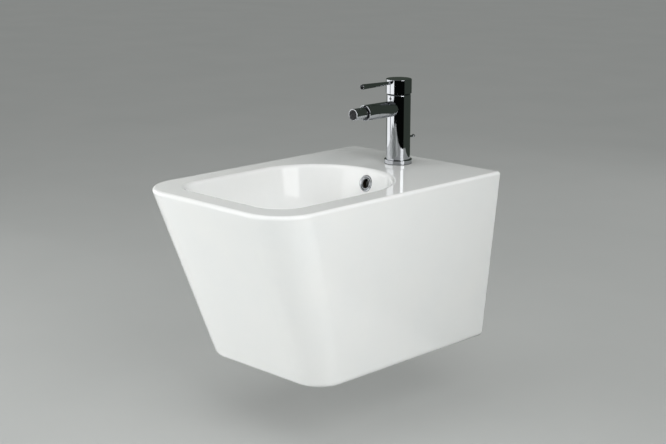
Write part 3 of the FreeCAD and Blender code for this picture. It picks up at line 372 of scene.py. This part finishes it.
# The waste's body screws up onto the flange's tube and clamps the drain. It is cast in brass and turned, with
# a port at the rear for the pivot and a pipe thread below for the trap.
DRAIN_AXIS = Vector((0.0, -0.265, 0.0))
WASTE_BOTTOM = -0.166
WASTE_BORE_R = 0.0172
WASTE_TUBE_R = 0.02095
TUBE_SEAT = 0.058
TAIL_ROOT_R = 0.0195
TAIL_PITCH = 0.002309
TAIL_THREAD = 0.030
TAIL_CHAMFER = 0.0012
TAIL_CORE_R = 0.019
TAIL_CORE_BORE_R = 0.0176
TAIL_CORE_LOW = 0.001
TAIL_CORE_TOP = 0.029
TAIL_BORE_STEP = 0.0005
TAIL_FILLET = ((0.0204, 0.032), (0.0196, 0.0305))
DRILL_LOW = -0.001
DRILL_TOP = 0.04
BARREL_R = 0.0255
BARREL_UNDER = 0.032
BARREL_EDGE = 0.0014
COLLAR_R = 0.034
COLLAR_UNDER = 0.072
COLLAR_TOP = 0.078
COLLAR_EDGE = 0.0007
COLLAR_FILLET = 0.0017
FILLET_MIDDLE = 0.0005
PORT_HEIGHT = 0.045
PORT_R = 0.010
PORT_FROM = 0.0205
PORT_REACH = 0.040
PORT_EDGE = 0.0007
PORT_HOLE_R = 0.0044
PORT_POCKET_R = 0.0072
PORT_POCKET_FROM = 0.027
BRASS = "c8a65e"
BRASS_SHADE = "a98947"
BRASS_SKIN = 0.003
BRASS_ROUGH = (0.24, 0.46)
BRASS_RELIEF = (0.3, 0.00008)

# Brass as cast and turned: warm yellow metal, dulled and browner in the hollows of its cast skin.
brass = mottled("cast and turned brass", (BRASS, BRASS_SHADE), BRASS_SKIN, BRASS_ROUGH, {"Metallic": 1.0},
                detail=4.0, relief=BRASS_RELIEF)

waste = turned("waste_body_turned", [
    (TAIL_CORE_BORE_R, TAIL_CORE_LOW), (TAIL_CORE_BORE_R, TAIL_CORE_TOP),
    (WASTE_BORE_R, TAIL_CORE_TOP + TAIL_BORE_STEP), (WASTE_BORE_R, TUBE_SEAT),
    (WASTE_TUBE_R, TUBE_SEAT), (WASTE_TUBE_R, COLLAR_TOP),
    (COLLAR_R - COLLAR_EDGE, COLLAR_TOP), (COLLAR_R, COLLAR_TOP - COLLAR_EDGE),
    (COLLAR_R, COLLAR_UNDER + COLLAR_EDGE), (COLLAR_R - COLLAR_EDGE, COLLAR_UNDER),
    (BARREL_R + COLLAR_FILLET, COLLAR_UNDER), (BARREL_R + FILLET_MIDDLE, COLLAR_UNDER - FILLET_MIDDLE),
    (BARREL_R, COLLAR_UNDER - COLLAR_FILLET), (BARREL_R, BARREL_UNDER + BARREL_EDGE),
    (BARREL_R - BARREL_EDGE, BARREL_UNDER), *TAIL_FILLET, (TAIL_CORE_R, TAIL_CORE_TOP),
    (TAIL_CORE_R, TAIL_CORE_LOW), (TAIL_CORE_BORE_R, TAIL_CORE_LOW)], steps=72)
tail = threaded_rod("tail", WASTE_TUBE_R, TAIL_ROOT_R, TAIL_PITCH, TAIL_THREAD, TAIL_CHAMFER)
drill = turned("drill", [(0, DRILL_LOW), (WASTE_BORE_R, DRILL_LOW), (WASTE_BORE_R, DRILL_TOP),
                         (0, DRILL_TOP)], steps=72)
work(tail, drill, "DIFFERENCE")
port = turned("port", [
    (PORT_HOLE_R, PORT_FROM), (PORT_R, PORT_FROM), (PORT_R, PORT_REACH - PORT_EDGE),
    (PORT_R - PORT_EDGE, PORT_REACH), (PORT_POCKET_R, PORT_REACH), (PORT_POCKET_R, PORT_POCKET_FROM),
    (PORT_HOLE_R, PORT_POCKET_FROM), (PORT_HOLE_R, PORT_FROM)], steps=48)
port.location.z = PORT_HEIGHT
port.rotation_euler = ALONG_BACK
waste = joined(waste, tail, port)
fit(waste, DRAIN_AXIS + Vector((0, 0, WASTE_BOTTOM)), (0, 0, 0), brass, "bidet", "waste_body")

# A brass nut with six flats closes the port over the pivot's ball and its two polyamide seats. The pivot
# itself is a plated steel rod with the ball pressed onto it.
PORT_NUT_FLATS = 0.0225
PORT_NUT_R = 0.013
PORT_NUT_FACE_R = 0.0112
PORT_NUT_CHAMFER = 0.0011
PORT_NUT_FROM = 0.034
PORT_NUT_END = 0.043
PORT_NUT_HOLE_R = 0.0042
NUT_SPIGOT_R = 0.0070
NUT_SPIGOT_FROM = 0.0365
HEXAGON_BAR = 0.02
port_nut = turned("port_nut_turned", [
    (PORT_NUT_HOLE_R, NUT_SPIGOT_FROM), (NUT_SPIGOT_R, NUT_SPIGOT_FROM), (NUT_SPIGOT_R, PORT_REACH),
    (PORT_R, PORT_REACH), (PORT_R, PORT_NUT_FROM), (PORT_NUT_FACE_R, PORT_NUT_FROM),
    (PORT_NUT_R, PORT_NUT_FROM + PORT_NUT_CHAMFER), (PORT_NUT_R, PORT_NUT_END - PORT_NUT_CHAMFER),
    (PORT_NUT_FACE_R, PORT_NUT_END), (PORT_NUT_HOLE_R, PORT_NUT_END),
    (PORT_NUT_HOLE_R, NUT_SPIGOT_FROM)], steps=48)
bpy.ops.object.select_all(action="DESELECT")
bpy.ops.mesh.primitive_cylinder_add(vertices=6, radius=PORT_NUT_FLATS / 3 ** 0.5, depth=HEXAGON_BAR,
                                    location=(0, 0, PORT_REACH))
work(port_nut, bpy.context.object, "INTERSECT")
fit(port_nut, DRAIN_AXIS + Vector((0, 0, WASTE_BOTTOM + PORT_HEIGHT)), ALONG_BACK, brass,
    "bidet", "pivot_nut")
dress(polyamide, "pivot_seat", "pivot_washer")
dress(zinc, "pivot_rod")

# The plug, a turned and plated brass head on a stem with an eye for the pivot, lifts out of the drain on its
# rubber lip.
dress(chrome, "plug")
dress(rubber, "plug_seal")

# The lift rod runs down behind the mixer, from a plated knob to a sawn brass clamp on the pivot. A slotted
# cheese-head screw sets the clamp.
CLAMP_SCREW_SPOT = (0.0, -0.0585, -0.124)
SCREW_HEAD_R = 0.0035
SCREW_SHANK_R = 0.002
SCREW_SHANK_LENGTH = 0.0025
SCREW_LENGTH = 0.0055
SCREW_EDGE = 0.0005
SCREW_ROUND = (0.0033, 0.0054)
SLOT_WIDTH = 0.0009
SLOT_DEPTH = 0.0013
SLOT_LENGTH = 0.01
dress(chrome, "lift_knob")
dress(zinc, "lift_rod")
dress(brass, "rod_clamp")
clamp_screw = turned("clamp_screw_slotted", [
    (0, 0), (SCREW_SHANK_R, 0), (SCREW_SHANK_R, SCREW_SHANK_LENGTH), (SCREW_HEAD_R, SCREW_SHANK_LENGTH),
    (SCREW_HEAD_R, SCREW_LENGTH - SCREW_EDGE), SCREW_ROUND, (SCREW_HEAD_R - SCREW_EDGE, SCREW_LENGTH),
    (0, SCREW_LENGTH)], steps=48)
bpy.ops.object.select_all(action="DESELECT")
bpy.ops.mesh.primitive_cube_add(size=1, location=(0, 0, SCREW_LENGTH))
saw = bpy.context.object
saw.scale = (SLOT_LENGTH, SLOT_WIDTH, SLOT_DEPTH * 2)
bpy.ops.object.transform_apply(location=True, rotation=True, scale=True)
work(clamp_screw, saw, "DIFFERENCE")
fit(clamp_screw, CLAMP_SCREW_SPOT, ALONG_BACK, zinc, "lift_knob_and_rod", "clamp_screw")

# The mixer stands on the deck and is drawn down from below by one threaded stud, a rubber and a steel
# horseshoe and a long nut.
MIXER_STUD_SPOT = (0.0, -0.084, 0.035)
MIXER_STUD_R = 0.004
MIXER_STUD_ROOT_R = 0.00336
MIXER_STUD_PITCH = 0.00125
MIXER_STUD_LENGTH = 0.067
MIXER_STUD_CHAMFER = 0.0007
MIXER_NUT_SPOT = (0.0, -0.084, 0.0595)
MIXER_NUT_FLATS = 0.013
MIXER_NUT_T = 0.012
dress(rubber, "clamp_gasket", "base_seal")
dress(zinc, "clamp_washer")
mixer_stud = threaded_rod("mixer_stud_threaded", MIXER_STUD_R, MIXER_STUD_ROOT_R, MIXER_STUD_PITCH,
                          MIXER_STUD_LENGTH, MIXER_STUD_CHAMFER)
fit(mixer_stud, MIXER_STUD_SPOT, (0, 0, 0), zinc, "bidet", "mixer_stud")
mixer_nut = hexagon_nut("mixer_nut_chamfered", MIXER_NUT_FLATS, MIXER_NUT_T, MIXER_STUD_R)
fit(mixer_nut, MIXER_NUT_SPOT, (0, 0, 0), zinc, "bidet", "mixer_nut")

# The mixer's body is one brass casting, turned, polished and plated, with a ring at its foot. A small
# indicator plug, moulded in dark ABS, is pressed into its front.
ABS = "2c2d30"
ABS_SHADE = "37383b"
ABS_GRAIN = 0.001
ABS_ROUGH = (0.3, 0.45)
ABS_RELIEF = (0.3, 0.00004)

# Moulded ABS: a dark grey with a soft satin shine and a fine moulded grain.
abs_plastic = mottled("moulded dark abs", (ABS, ABS_SHADE), ABS_GRAIN, ABS_ROUGH, {"IOR": 1.54},
                      detail=2.0, relief=ABS_RELIEF)
dress(chrome, "mixer_body", "base_ring")
dress(abs_plastic, "indicator_plug")

# The spout is a drawn brass tube, brazed into the body and plated with it. Its mouth is bored wider for the
# nozzle's seats and its lip is turned off at a slight slope.
TAP_AXIS = Vector((0.0, -0.074, 0.1923))
TOWARDS_FRONT = (pi / 2, 0, 0)
SPOUT_R = 0.0142
SPOUT_ROOT = 0.0165
SPOUT_REACH = 0.090
SPOUT_BORE_R = 0.0112
MOUTH_R = 0.01315
MOUTH_FROM = 0.066
LIP_SLOPE = 0.2
LIP_EDGE = 0.00015
LIP_ROUND = 0.3


def sloped_lip(outer, inner, reach):
    """The points over a tube's end, from its outside to its inside: turned off at a slope, edges broken."""
    slope = LIP_SLOPE * (outer - inner)
    return [(outer, reach - slope - 2 * LIP_EDGE), (outer - LIP_ROUND * LIP_EDGE, reach - slope - LIP_EDGE),
            (outer - LIP_EDGE, reach - slope), (inner + LIP_EDGE, reach), (inner, reach - LIP_EDGE)]


spout = turned("spout_tube", [(SPOUT_BORE_R, SPOUT_ROOT), (SPOUT_R, SPOUT_ROOT)]
               + sloped_lip(SPOUT_R, MOUTH_R, SPOUT_REACH)
               + [(MOUTH_R, MOUTH_FROM), (SPOUT_BORE_R, MOUTH_FROM), (SPOUT_BORE_R, SPOUT_ROOT)], steps=128)
fit(spout, TAP_AXIS, TOWARDS_FRONT, chrome, "bidet", "mixer_spout")

# The nozzle turns on a ball in the spout's mouth, between a rubber ring, a polyamide cup and a plated collar.
# It is turned from brass in one piece and plated, and its end is sloped like the spout's lip.
BALL_AT = 0.081
BALL_R = 0.011
BALL_BORE_R = 0.006
NECK_R = 0.0086
NOZZLE_R = 0.0104
NOZZLE_EDGE = 0.0004
NOZZLE_FROM = 0.088
NOZZLE_REACH = 0.1192
AERATOR_R = 0.0092
AERATOR_FROM = 0.1064
BALL_TURNS = range(33, 130, 4)
ball = [(BALL_R * sin(radians(a)), BALL_AT - BALL_R * cos(radians(a))) for a in BALL_TURNS]
nozzle = turned("nozzle_turned", [(BALL_BORE_R, ball[0][1])] + ball
                + [(NECK_R, NOZZLE_FROM), (NOZZLE_R - NOZZLE_EDGE, NOZZLE_FROM),
                   (NOZZLE_R, NOZZLE_FROM + NOZZLE_EDGE)]
                + sloped_lip(NOZZLE_R, AERATOR_R, NOZZLE_REACH)
                + [(AERATOR_R, AERATOR_FROM), (BALL_BORE_R, AERATOR_FROM), (BALL_BORE_R, ball[0][1])],
                steps=128)
fit(nozzle, TAP_AXIS, TOWARDS_FRONT, chrome, "nozzle_tube", "nozzle")
dress(chrome, "nozzle_collar")
dress(polyamide, "nozzle_liner")
dress(rubber, "nozzle_gasket")

# The aerator breaks the jet up with a honeycomb of small cells. It is moulded in dark ABS and pressed into
# the nozzle's end.
AERATOR_LENGTH = 0.0118
AERATOR_FIT_R = 0.00915
AERATOR_EDGE = 0.0003
AERATOR_RIM_R = 0.0089
AERATOR_LIP_R = 0.0082
AERATOR_FACE_R = 0.0080
CELL_PITCH = 0.0021
CELL_FLATS = 0.00175
CELL_DEPTH = 0.004
CELL_PAST = 0.0005
CELLS_ACROSS = 13
CELL_ROWS = 9
COMB_R = 0.0076
COMB_FACE = 0.0113
COMB_CUTTER = 0.02
CELL_ROW = CELL_PITCH * 3 ** 0.5 / 2
FIRST_CELL = (-((CELLS_ACROSS - 1) / 2 + (CELL_ROWS - 1) / 4) * CELL_PITCH, -(CELL_ROWS - 1) / 2 * CELL_ROW,
              COMB_FACE + CELL_PAST - CELL_DEPTH / 2)
aerator = turned("aerator_honeycomb", [
    (0, 0), (AERATOR_FIT_R, 0), (AERATOR_FIT_R, AERATOR_LENGTH - AERATOR_EDGE),
    (AERATOR_RIM_R, AERATOR_LENGTH), (AERATOR_LIP_R, AERATOR_LENGTH), (AERATOR_FACE_R, COMB_FACE),
    (0, COMB_FACE)], steps=64)
bpy.ops.object.select_all(action="DESELECT")
bpy.ops.mesh.primitive_cylinder_add(vertices=6, radius=CELL_FLATS / 3 ** 0.5, depth=CELL_DEPTH,
                                    location=FIRST_CELL)
cells = bpy.context.object
bpy.ops.object.transform_apply(location=True, rotation=True, scale=True)
for count, step in ((CELLS_ACROSS, (CELL_PITCH, 0, 0)), (CELL_ROWS, (CELL_PITCH / 2, CELL_ROW, 0))):
    rows = cells.modifiers.new("rows", "ARRAY")
    rows.count = count
    rows.use_relative_offset = False
    rows.use_constant_offset = True
    rows.constant_offset_displace = step
    bpy.ops.object.modifier_apply(modifier=rows.name)
cutter = turned("comb cutter", [(0, 0), (COMB_R, 0), (COMB_R, COMB_CUTTER), (0, COMB_CUTTER)], steps=64)
work(cells, cutter, "INTERSECT")
work(aerator, cells, "DIFFERENCE")
fit(aerator, TAP_AXIS + Vector((0, -AERATOR_FROM, 0)), TOWARDS_FRONT, abs_plastic,
    "nozzle_tube", "aerator_insert")

# The cartridge mixes hot and cold between two ceramic discs. Its frame is moulded polyamide, its pin and
# spindle are steel, and a brass nut holds it down in the body.
ALUMINA = "efe9dd"
ALUMINA_SHADE = "e4dccb"
ALUMINA_GRAIN = 0.002
ALUMINA_ROUGH = (0.1, 0.2)

# Lapped alumina: a dense cream-white ceramic, flat and dimly shiny.
alumina = mottled("lapped alumina ceramic", (ALUMINA, ALUMINA_SHADE), ALUMINA_GRAIN, ALUMINA_ROUGH,
                  {"IOR": 1.76}, detail=3.0)
dress(alumina, "fixed_disc", "moving_disc")
dress(polyamide, "cartridge_base", "cartridge_housing", "swivel_carrier", "disc_driver")
dress(rubber, "cartridge_seals")
dress(brass, "cartridge_nut")
dress(zinc, "spindle", "spindle_pin")

# The handle: a turned cap that hides the cartridge, with a thin tapering lever screwed into its front, both
# plated. A grub screw with a hexagon socket holds the cap on the spindle from the rear.
GRUB_SPOT = (0.0, -0.07, 0.2285)
GRUB_R = 0.0025
GRUB_ROOT_R = 0.00207
GRUB_PITCH = 0.0008
GRUB_LENGTH = 0.005
GRUB_CHAMFER = 0.0004
SOCKET_FLATS = 0.0025
SOCKET_DEPTH = 0.002
dress(chrome, "handle_cap", "lever_rod")
grub = threaded_rod("handle_grub_screw", GRUB_R, GRUB_ROOT_R, GRUB_PITCH, GRUB_LENGTH, GRUB_CHAMFER)
bpy.ops.object.select_all(action="DESELECT")
bpy.ops.mesh.primitive_cylinder_add(vertices=6, radius=SOCKET_FLATS / 3 ** 0.5, depth=SOCKET_DEPTH * 2,
                                    location=(0, 0, GRUB_LENGTH))
work(grub, bpy.context.object, "DIFFERENCE")
fit(grub, GRUB_SPOT, ALONG_BACK, zinc, "lever_handle", "handle_screw")

# A turned brass ring, pressed into the bowl's rear wall, lines the overflow. Its flange is plated, with a
# groove round a raised lip.
# The sleeve behind it is left bare and is given a near-black painted shade, for the dark inside of the
# overflow.
OVERFLOW_SPOT = (0.0, -0.157995, 0.063723)
OVERFLOW_LEAN = 13.335
RING_R = 0.015
RING_EDGE = 0.0014
RING_CROWN = ((0.0138, 0.0023), (0.0142, 0.00225), (0.0147, 0.0020))
RING_GROOVE = ((0.0105, 0.0016), (0.0109, 0.0015), (0.0112, 0.0017))
RING_LIP = ((0.0085, 0.0020), (0.0091, 0.0023), (0.0098, 0.0023), (0.0103, 0.0020))
RING_MOUTH = 0.0015
RING_BORE_R = 0.0082
RING_SLEEVE_R = 0.01095
RING_SLEEVE_END = -0.008
PLATED_TO = -0.001
# Near-black tones of painted shade for the inside of the overflow's sleeve.
PAINTED_SHADE = "1d1812"
PAINTED_SHADE_PATCH = "2e261a"
PAINTED_SHADE_GRAIN = 0.003
PAINTED_SHADE_ROUGH = (0.6, 0.8)

# Painted shade on bare brass: brown going to black, dull, with a little of the metal left in patches. It
# stands for the shadow inside the overflow.
painted_shade = mottled("brass painted as shade", (PAINTED_SHADE, PAINTED_SHADE_PATCH), PAINTED_SHADE_GRAIN, PAINTED_SHADE_ROUGH,
                    {"Metallic": 0.5}, detail=4.0)

FACING_BOWL = (radians(90 - OVERFLOW_LEAN), 0, 0)
ring = turned("overflow_ring_turned", [
    (RING_BORE_R, PLATED_TO), (RING_BORE_R, RING_MOUTH), *RING_LIP, *RING_GROOVE, *RING_CROWN,
    (RING_R, RING_EDGE), (RING_R, 0), (RING_SLEEVE_R, 0), (RING_SLEEVE_R, PLATED_TO),
    (RING_BORE_R, PLATED_TO)], steps=96)
fit(ring, OVERFLOW_SPOT, FACING_BOWL, chrome, "bidet", "overflow_ring")
sleeve = turned("overflow_ring_sleeve", [
    (RING_BORE_R, RING_SLEEVE_END), (RING_BORE_R, PLATED_TO), (RING_SLEEVE_R, PLATED_TO),
    (RING_SLEEVE_R, RING_SLEEVE_END), (RING_BORE_R, RING_SLEEVE_END)], steps=96)
# The sleeve's near-black finish is painted shade for the dark inside of the overflow.
fit(sleeve, OVERFLOW_SPOT, FACING_BOWL, painted_shade, "bidet", "overflow_ring")

# The studio's floor, seamless and pale, lies a little below the hanging body and runs on far behind it.
FLOOR_Z = -0.342
FLOOR_SIZE = 60.0
FLOOR_TONE = "cbcdcb"
FLOOR_SHADE = "c3c6c4"
FLOOR_PATCH_SCALE = 3.0
FLOOR_GLOW = 0.68
FLOOR_GLOW_SHARE = 0.5

# Matt floor paint: pale grey and faintly patchy. Half of what the eye sees is an even glow, so that the paint
# doesn't fall into the dark far from the lamps.
paint, surface = new_material("matt floor paint")
place = add_node(paint, "ShaderNodeTexCoord", {}, {})
patch = add_node(paint, "ShaderNodeTexNoise", {"Scale": FLOOR_PATCH_SCALE, "Detail": 4.0},
                 {"Vector": place.outputs["Object"]})
tone = add_node(paint, "ShaderNodeMix",
                {"data_type": "RGBA", 6: linear(FLOOR_TONE), 7: linear(FLOOR_SHADE)},
                {0: patch.outputs["Fac"]})
matt = add_node(paint, "ShaderNodeBsdfPrincipled", {"Roughness": 0.8}, {"Base Color": tone.outputs[2]})
lit = add_node(paint, "ShaderNodeEmission", {"Strength": FLOOR_GLOW}, {"Color": tone.outputs[2]})
seen = add_node(paint, "ShaderNodeLightPath", {}, {})
eye = add_node(paint, "ShaderNodeMath", {"operation": "MAXIMUM"},
               {0: seen.outputs["Is Camera Ray"], 1: seen.outputs["Is Glossy Ray"]})
share = add_node(paint, "ShaderNodeMath", {"operation": "MULTIPLY", 1: FLOOR_GLOW_SHARE}, {0: eye.outputs[0]})
even = add_node(paint, "ShaderNodeMixShader", {},
                {0: share.outputs[0], 1: matt.outputs[0], 2: lit.outputs[0]})
paint.node_tree.links.new(even.outputs[0], surface)
bpy.ops.mesh.primitive_plane_add(size=FLOOR_SIZE, location=(0, 0, FLOOR_Z))
floor = bpy.context.object
floor.name = "floor"
floor.data.materials.append(paint)

# Soft panels of light, each with its turn round the body in degrees, its rise, its distance, its size and its
# watts. Glossy surfaces don't mirror these; they mirror the cards below.
BODY_MIDDLE = Vector((0.0, -0.2, 0.0))
PANELS = {
    "window panel": (-130, 5, 2.1, 1.5, 32),
    "ceiling panel": (-105, 78, 2.1, 1.5, 11.4),
    "fill panel": (-20, 35, 2.1, 1.5, 25.7),
    "near panel": (-30, 10, 1.1, 0.7, 2.0),
    "low panel": (-112, -8, 1.3, 0.3, 0.9),
    "back panel": (95, 20, 2.4, 1.4, 4),
}


def stand_at(turn, rise, distance):
    """A place round the body, and the rotation that faces the body's middle from there."""
    out = Vector((cos(radians(turn)) * cos(radians(rise)), sin(radians(turn)) * cos(radians(rise)),
                  sin(radians(rise))))
    return BODY_MIDDLE + out * distance, (radians(90 - rise), 0, radians(turn + 90))


for name, (turn, rise, distance, size, watts) in PANELS.items():
    spot, aim = stand_at(turn, rise, distance)
    bpy.ops.object.light_add(type="AREA", location=spot, rotation=aim)
    panel = bpy.context.object
    panel.name = name
    panel.data.size = size
    panel.data.energy = watts
    panel.visible_camera = False
    panel.visible_glossy = False

# Cards that only glossy surfaces mirror: two bright panes of a window in front on the left, a low bar before
# them, a bright pane high on the right and the dark side of the room. Each has its turn round the body, its
# distance, its lowest and highest edge above the floor, its width, its tone and its strength.
CARDS = {
    "right pane": (-111, 1.7, 0.0, 1.0, 1.25, "ffffff", 1.75),
    "left pane": (-158, 1.7, 0.0, 1.0, 1.55, "ffffff", 1.75),
    "window bar": (-133, 1.5, 0.0, 0.38, 0.19, "0a0a0a", 1.0),
    "high pane": (-5.5, 1.48, 0.62, 1.5, 0.74, "ffffff", 3.0),
    "dark room, front": (-64, 1.6, 0.0, 1.9, 1.5, "0a0b0a", 1.0),
    "dark room, side": (-16, 1.6, 0.0, 1.9, 1.5, "0a0b0a", 1.0),
}


def reflected_only(card, glow):
    """Gives a card its glow, which glossy rays alone see."""
    card.data.materials.append(glow)
    card.visible_camera = False
    card.visible_diffuse = False
    card.visible_shadow = False
    card.visible_transmission = False


for name, (turn, distance, low, high, width, tone, strength) in CARDS.items():
    spot, aim = stand_at(turn, 0, distance)
    spot.z = FLOOR_Z + (low + high) / 2
    bpy.ops.mesh.primitive_plane_add(size=1, location=spot, rotation=aim)
    card = bpy.context.object
    card.name = name
    card.scale = (width, high - low, 1)
    glow, surface = new_material(name)
    light = add_node(glow, "ShaderNodeEmission", {"Color": linear(tone), "Strength": strength}, {})
    glow.node_tree.links.new(light.outputs[0], surface)
    reflected_only(card, glow)

# One more card, wide and dim, stands close behind the body. Its glow has a pool of light painted in, low on
# the left.
WALL_CARD_HEIGHT = 1.9
WALL_CARD_Y = 0.08
WALL_CARD_WIDTH = 5.0
WALL_CARD_TONE = "444b44"
WALL_CARD_LIT_TONE = "bcbfba"
WALL_LIT_FROM_X = -0.25
WALL_LIT_FULL_X = -0.95
WALL_LIT_TO_Z = 0.55
WALL_LIT_FULL_Z = 0.35
bpy.ops.mesh.primitive_plane_add(size=1, location=(0, WALL_CARD_Y, FLOOR_Z + WALL_CARD_HEIGHT / 2),
                                 rotation=(radians(90), 0, 0))
card = bpy.context.object
card.name = "wall card"
card.scale = (WALL_CARD_WIDTH, WALL_CARD_HEIGHT, 1)
glow, surface = new_material("wall card")
place = add_node(glow, "ShaderNodeNewGeometry", {}, {})
axes = add_node(glow, "ShaderNodeSeparateXYZ", {}, {0: place.outputs["Position"]})
# A painted pool of light: the glow turns paler towards the lower left of the card.
across = add_node(glow, "ShaderNodeMapRange", {"From Min": WALL_LIT_FROM_X, "From Max": WALL_LIT_FULL_X},
                  {"Value": axes.outputs["X"]})
down = add_node(glow, "ShaderNodeMapRange", {"From Min": WALL_LIT_TO_Z, "From Max": WALL_LIT_FULL_Z},
                {"Value": axes.outputs["Z"]})
lit = add_node(glow, "ShaderNodeMath", {"operation": "MULTIPLY"},
               {0: across.outputs["Result"], 1: down.outputs["Result"]})
tone = add_node(glow, "ShaderNodeMix",
                {"data_type": "RGBA", 6: linear(WALL_CARD_TONE), 7: linear(WALL_CARD_LIT_TONE)},
                {0: lit.outputs[0]})
light = add_node(glow, "ShaderNodeEmission", {}, {"Color": tone.outputs[2]})
glow.node_tree.links.new(light.outputs[0], surface)
reflected_only(card, glow)

# The world: a pale even room, dimmer behind the body.
ROOM_TONE = "dfe2e1"
ROOM_DIM_TONE = "8a918b"
ROOM_DIM_FROM = -0.3
ROOM_DIM_FULL = 0.5
ROOM_STRENGTH = 0.28
room = bpy.data.worlds.new("pale room")
bpy.context.scene.world = room
room.use_nodes = True
room.node_tree.nodes.clear()
way = add_node(room, "ShaderNodeTexCoord", {}, {})
facing = add_node(room, "ShaderNodeSeparateXYZ", {}, {0: way.outputs["Generated"]})
behind = add_node(room, "ShaderNodeMapRange", {"From Min": ROOM_DIM_FROM, "From Max": ROOM_DIM_FULL},
                  {"Value": facing.outputs["Y"]})
air = add_node(room, "ShaderNodeMix",
               {"data_type": "RGBA", 6: linear(ROOM_TONE), 7: linear(ROOM_DIM_TONE)},
               {0: behind.outputs["Result"]})
sky = add_node(room, "ShaderNodeBackground", {"Strength": ROOM_STRENGTH}, {"Color": air.outputs[2]})
add_node(room, "ShaderNodeOutputWorld", {}, {"Surface": sky.outputs[0]})

# The camera stands in front of the body, to its right and a little above it.
CAMERA_PLACE = (1.6318, -1.8782, 0.5728)
CAMERA_TILT = 76.24
CAMERA_TURN = 44.94
CAMERA_LENS = 72.75
SENSOR_WIDTH = 36.0
bpy.ops.object.camera_add(location=CAMERA_PLACE, rotation=(radians(CAMERA_TILT), 0, radians(CAMERA_TURN)))
camera = bpy.context.object
camera.data.lens = CAMERA_LENS
camera.data.sensor_width = SENSOR_WIDTH
bpy.context.scene.camera = camera
bpy.context.scene.view_settings.view_transform = "Standard"
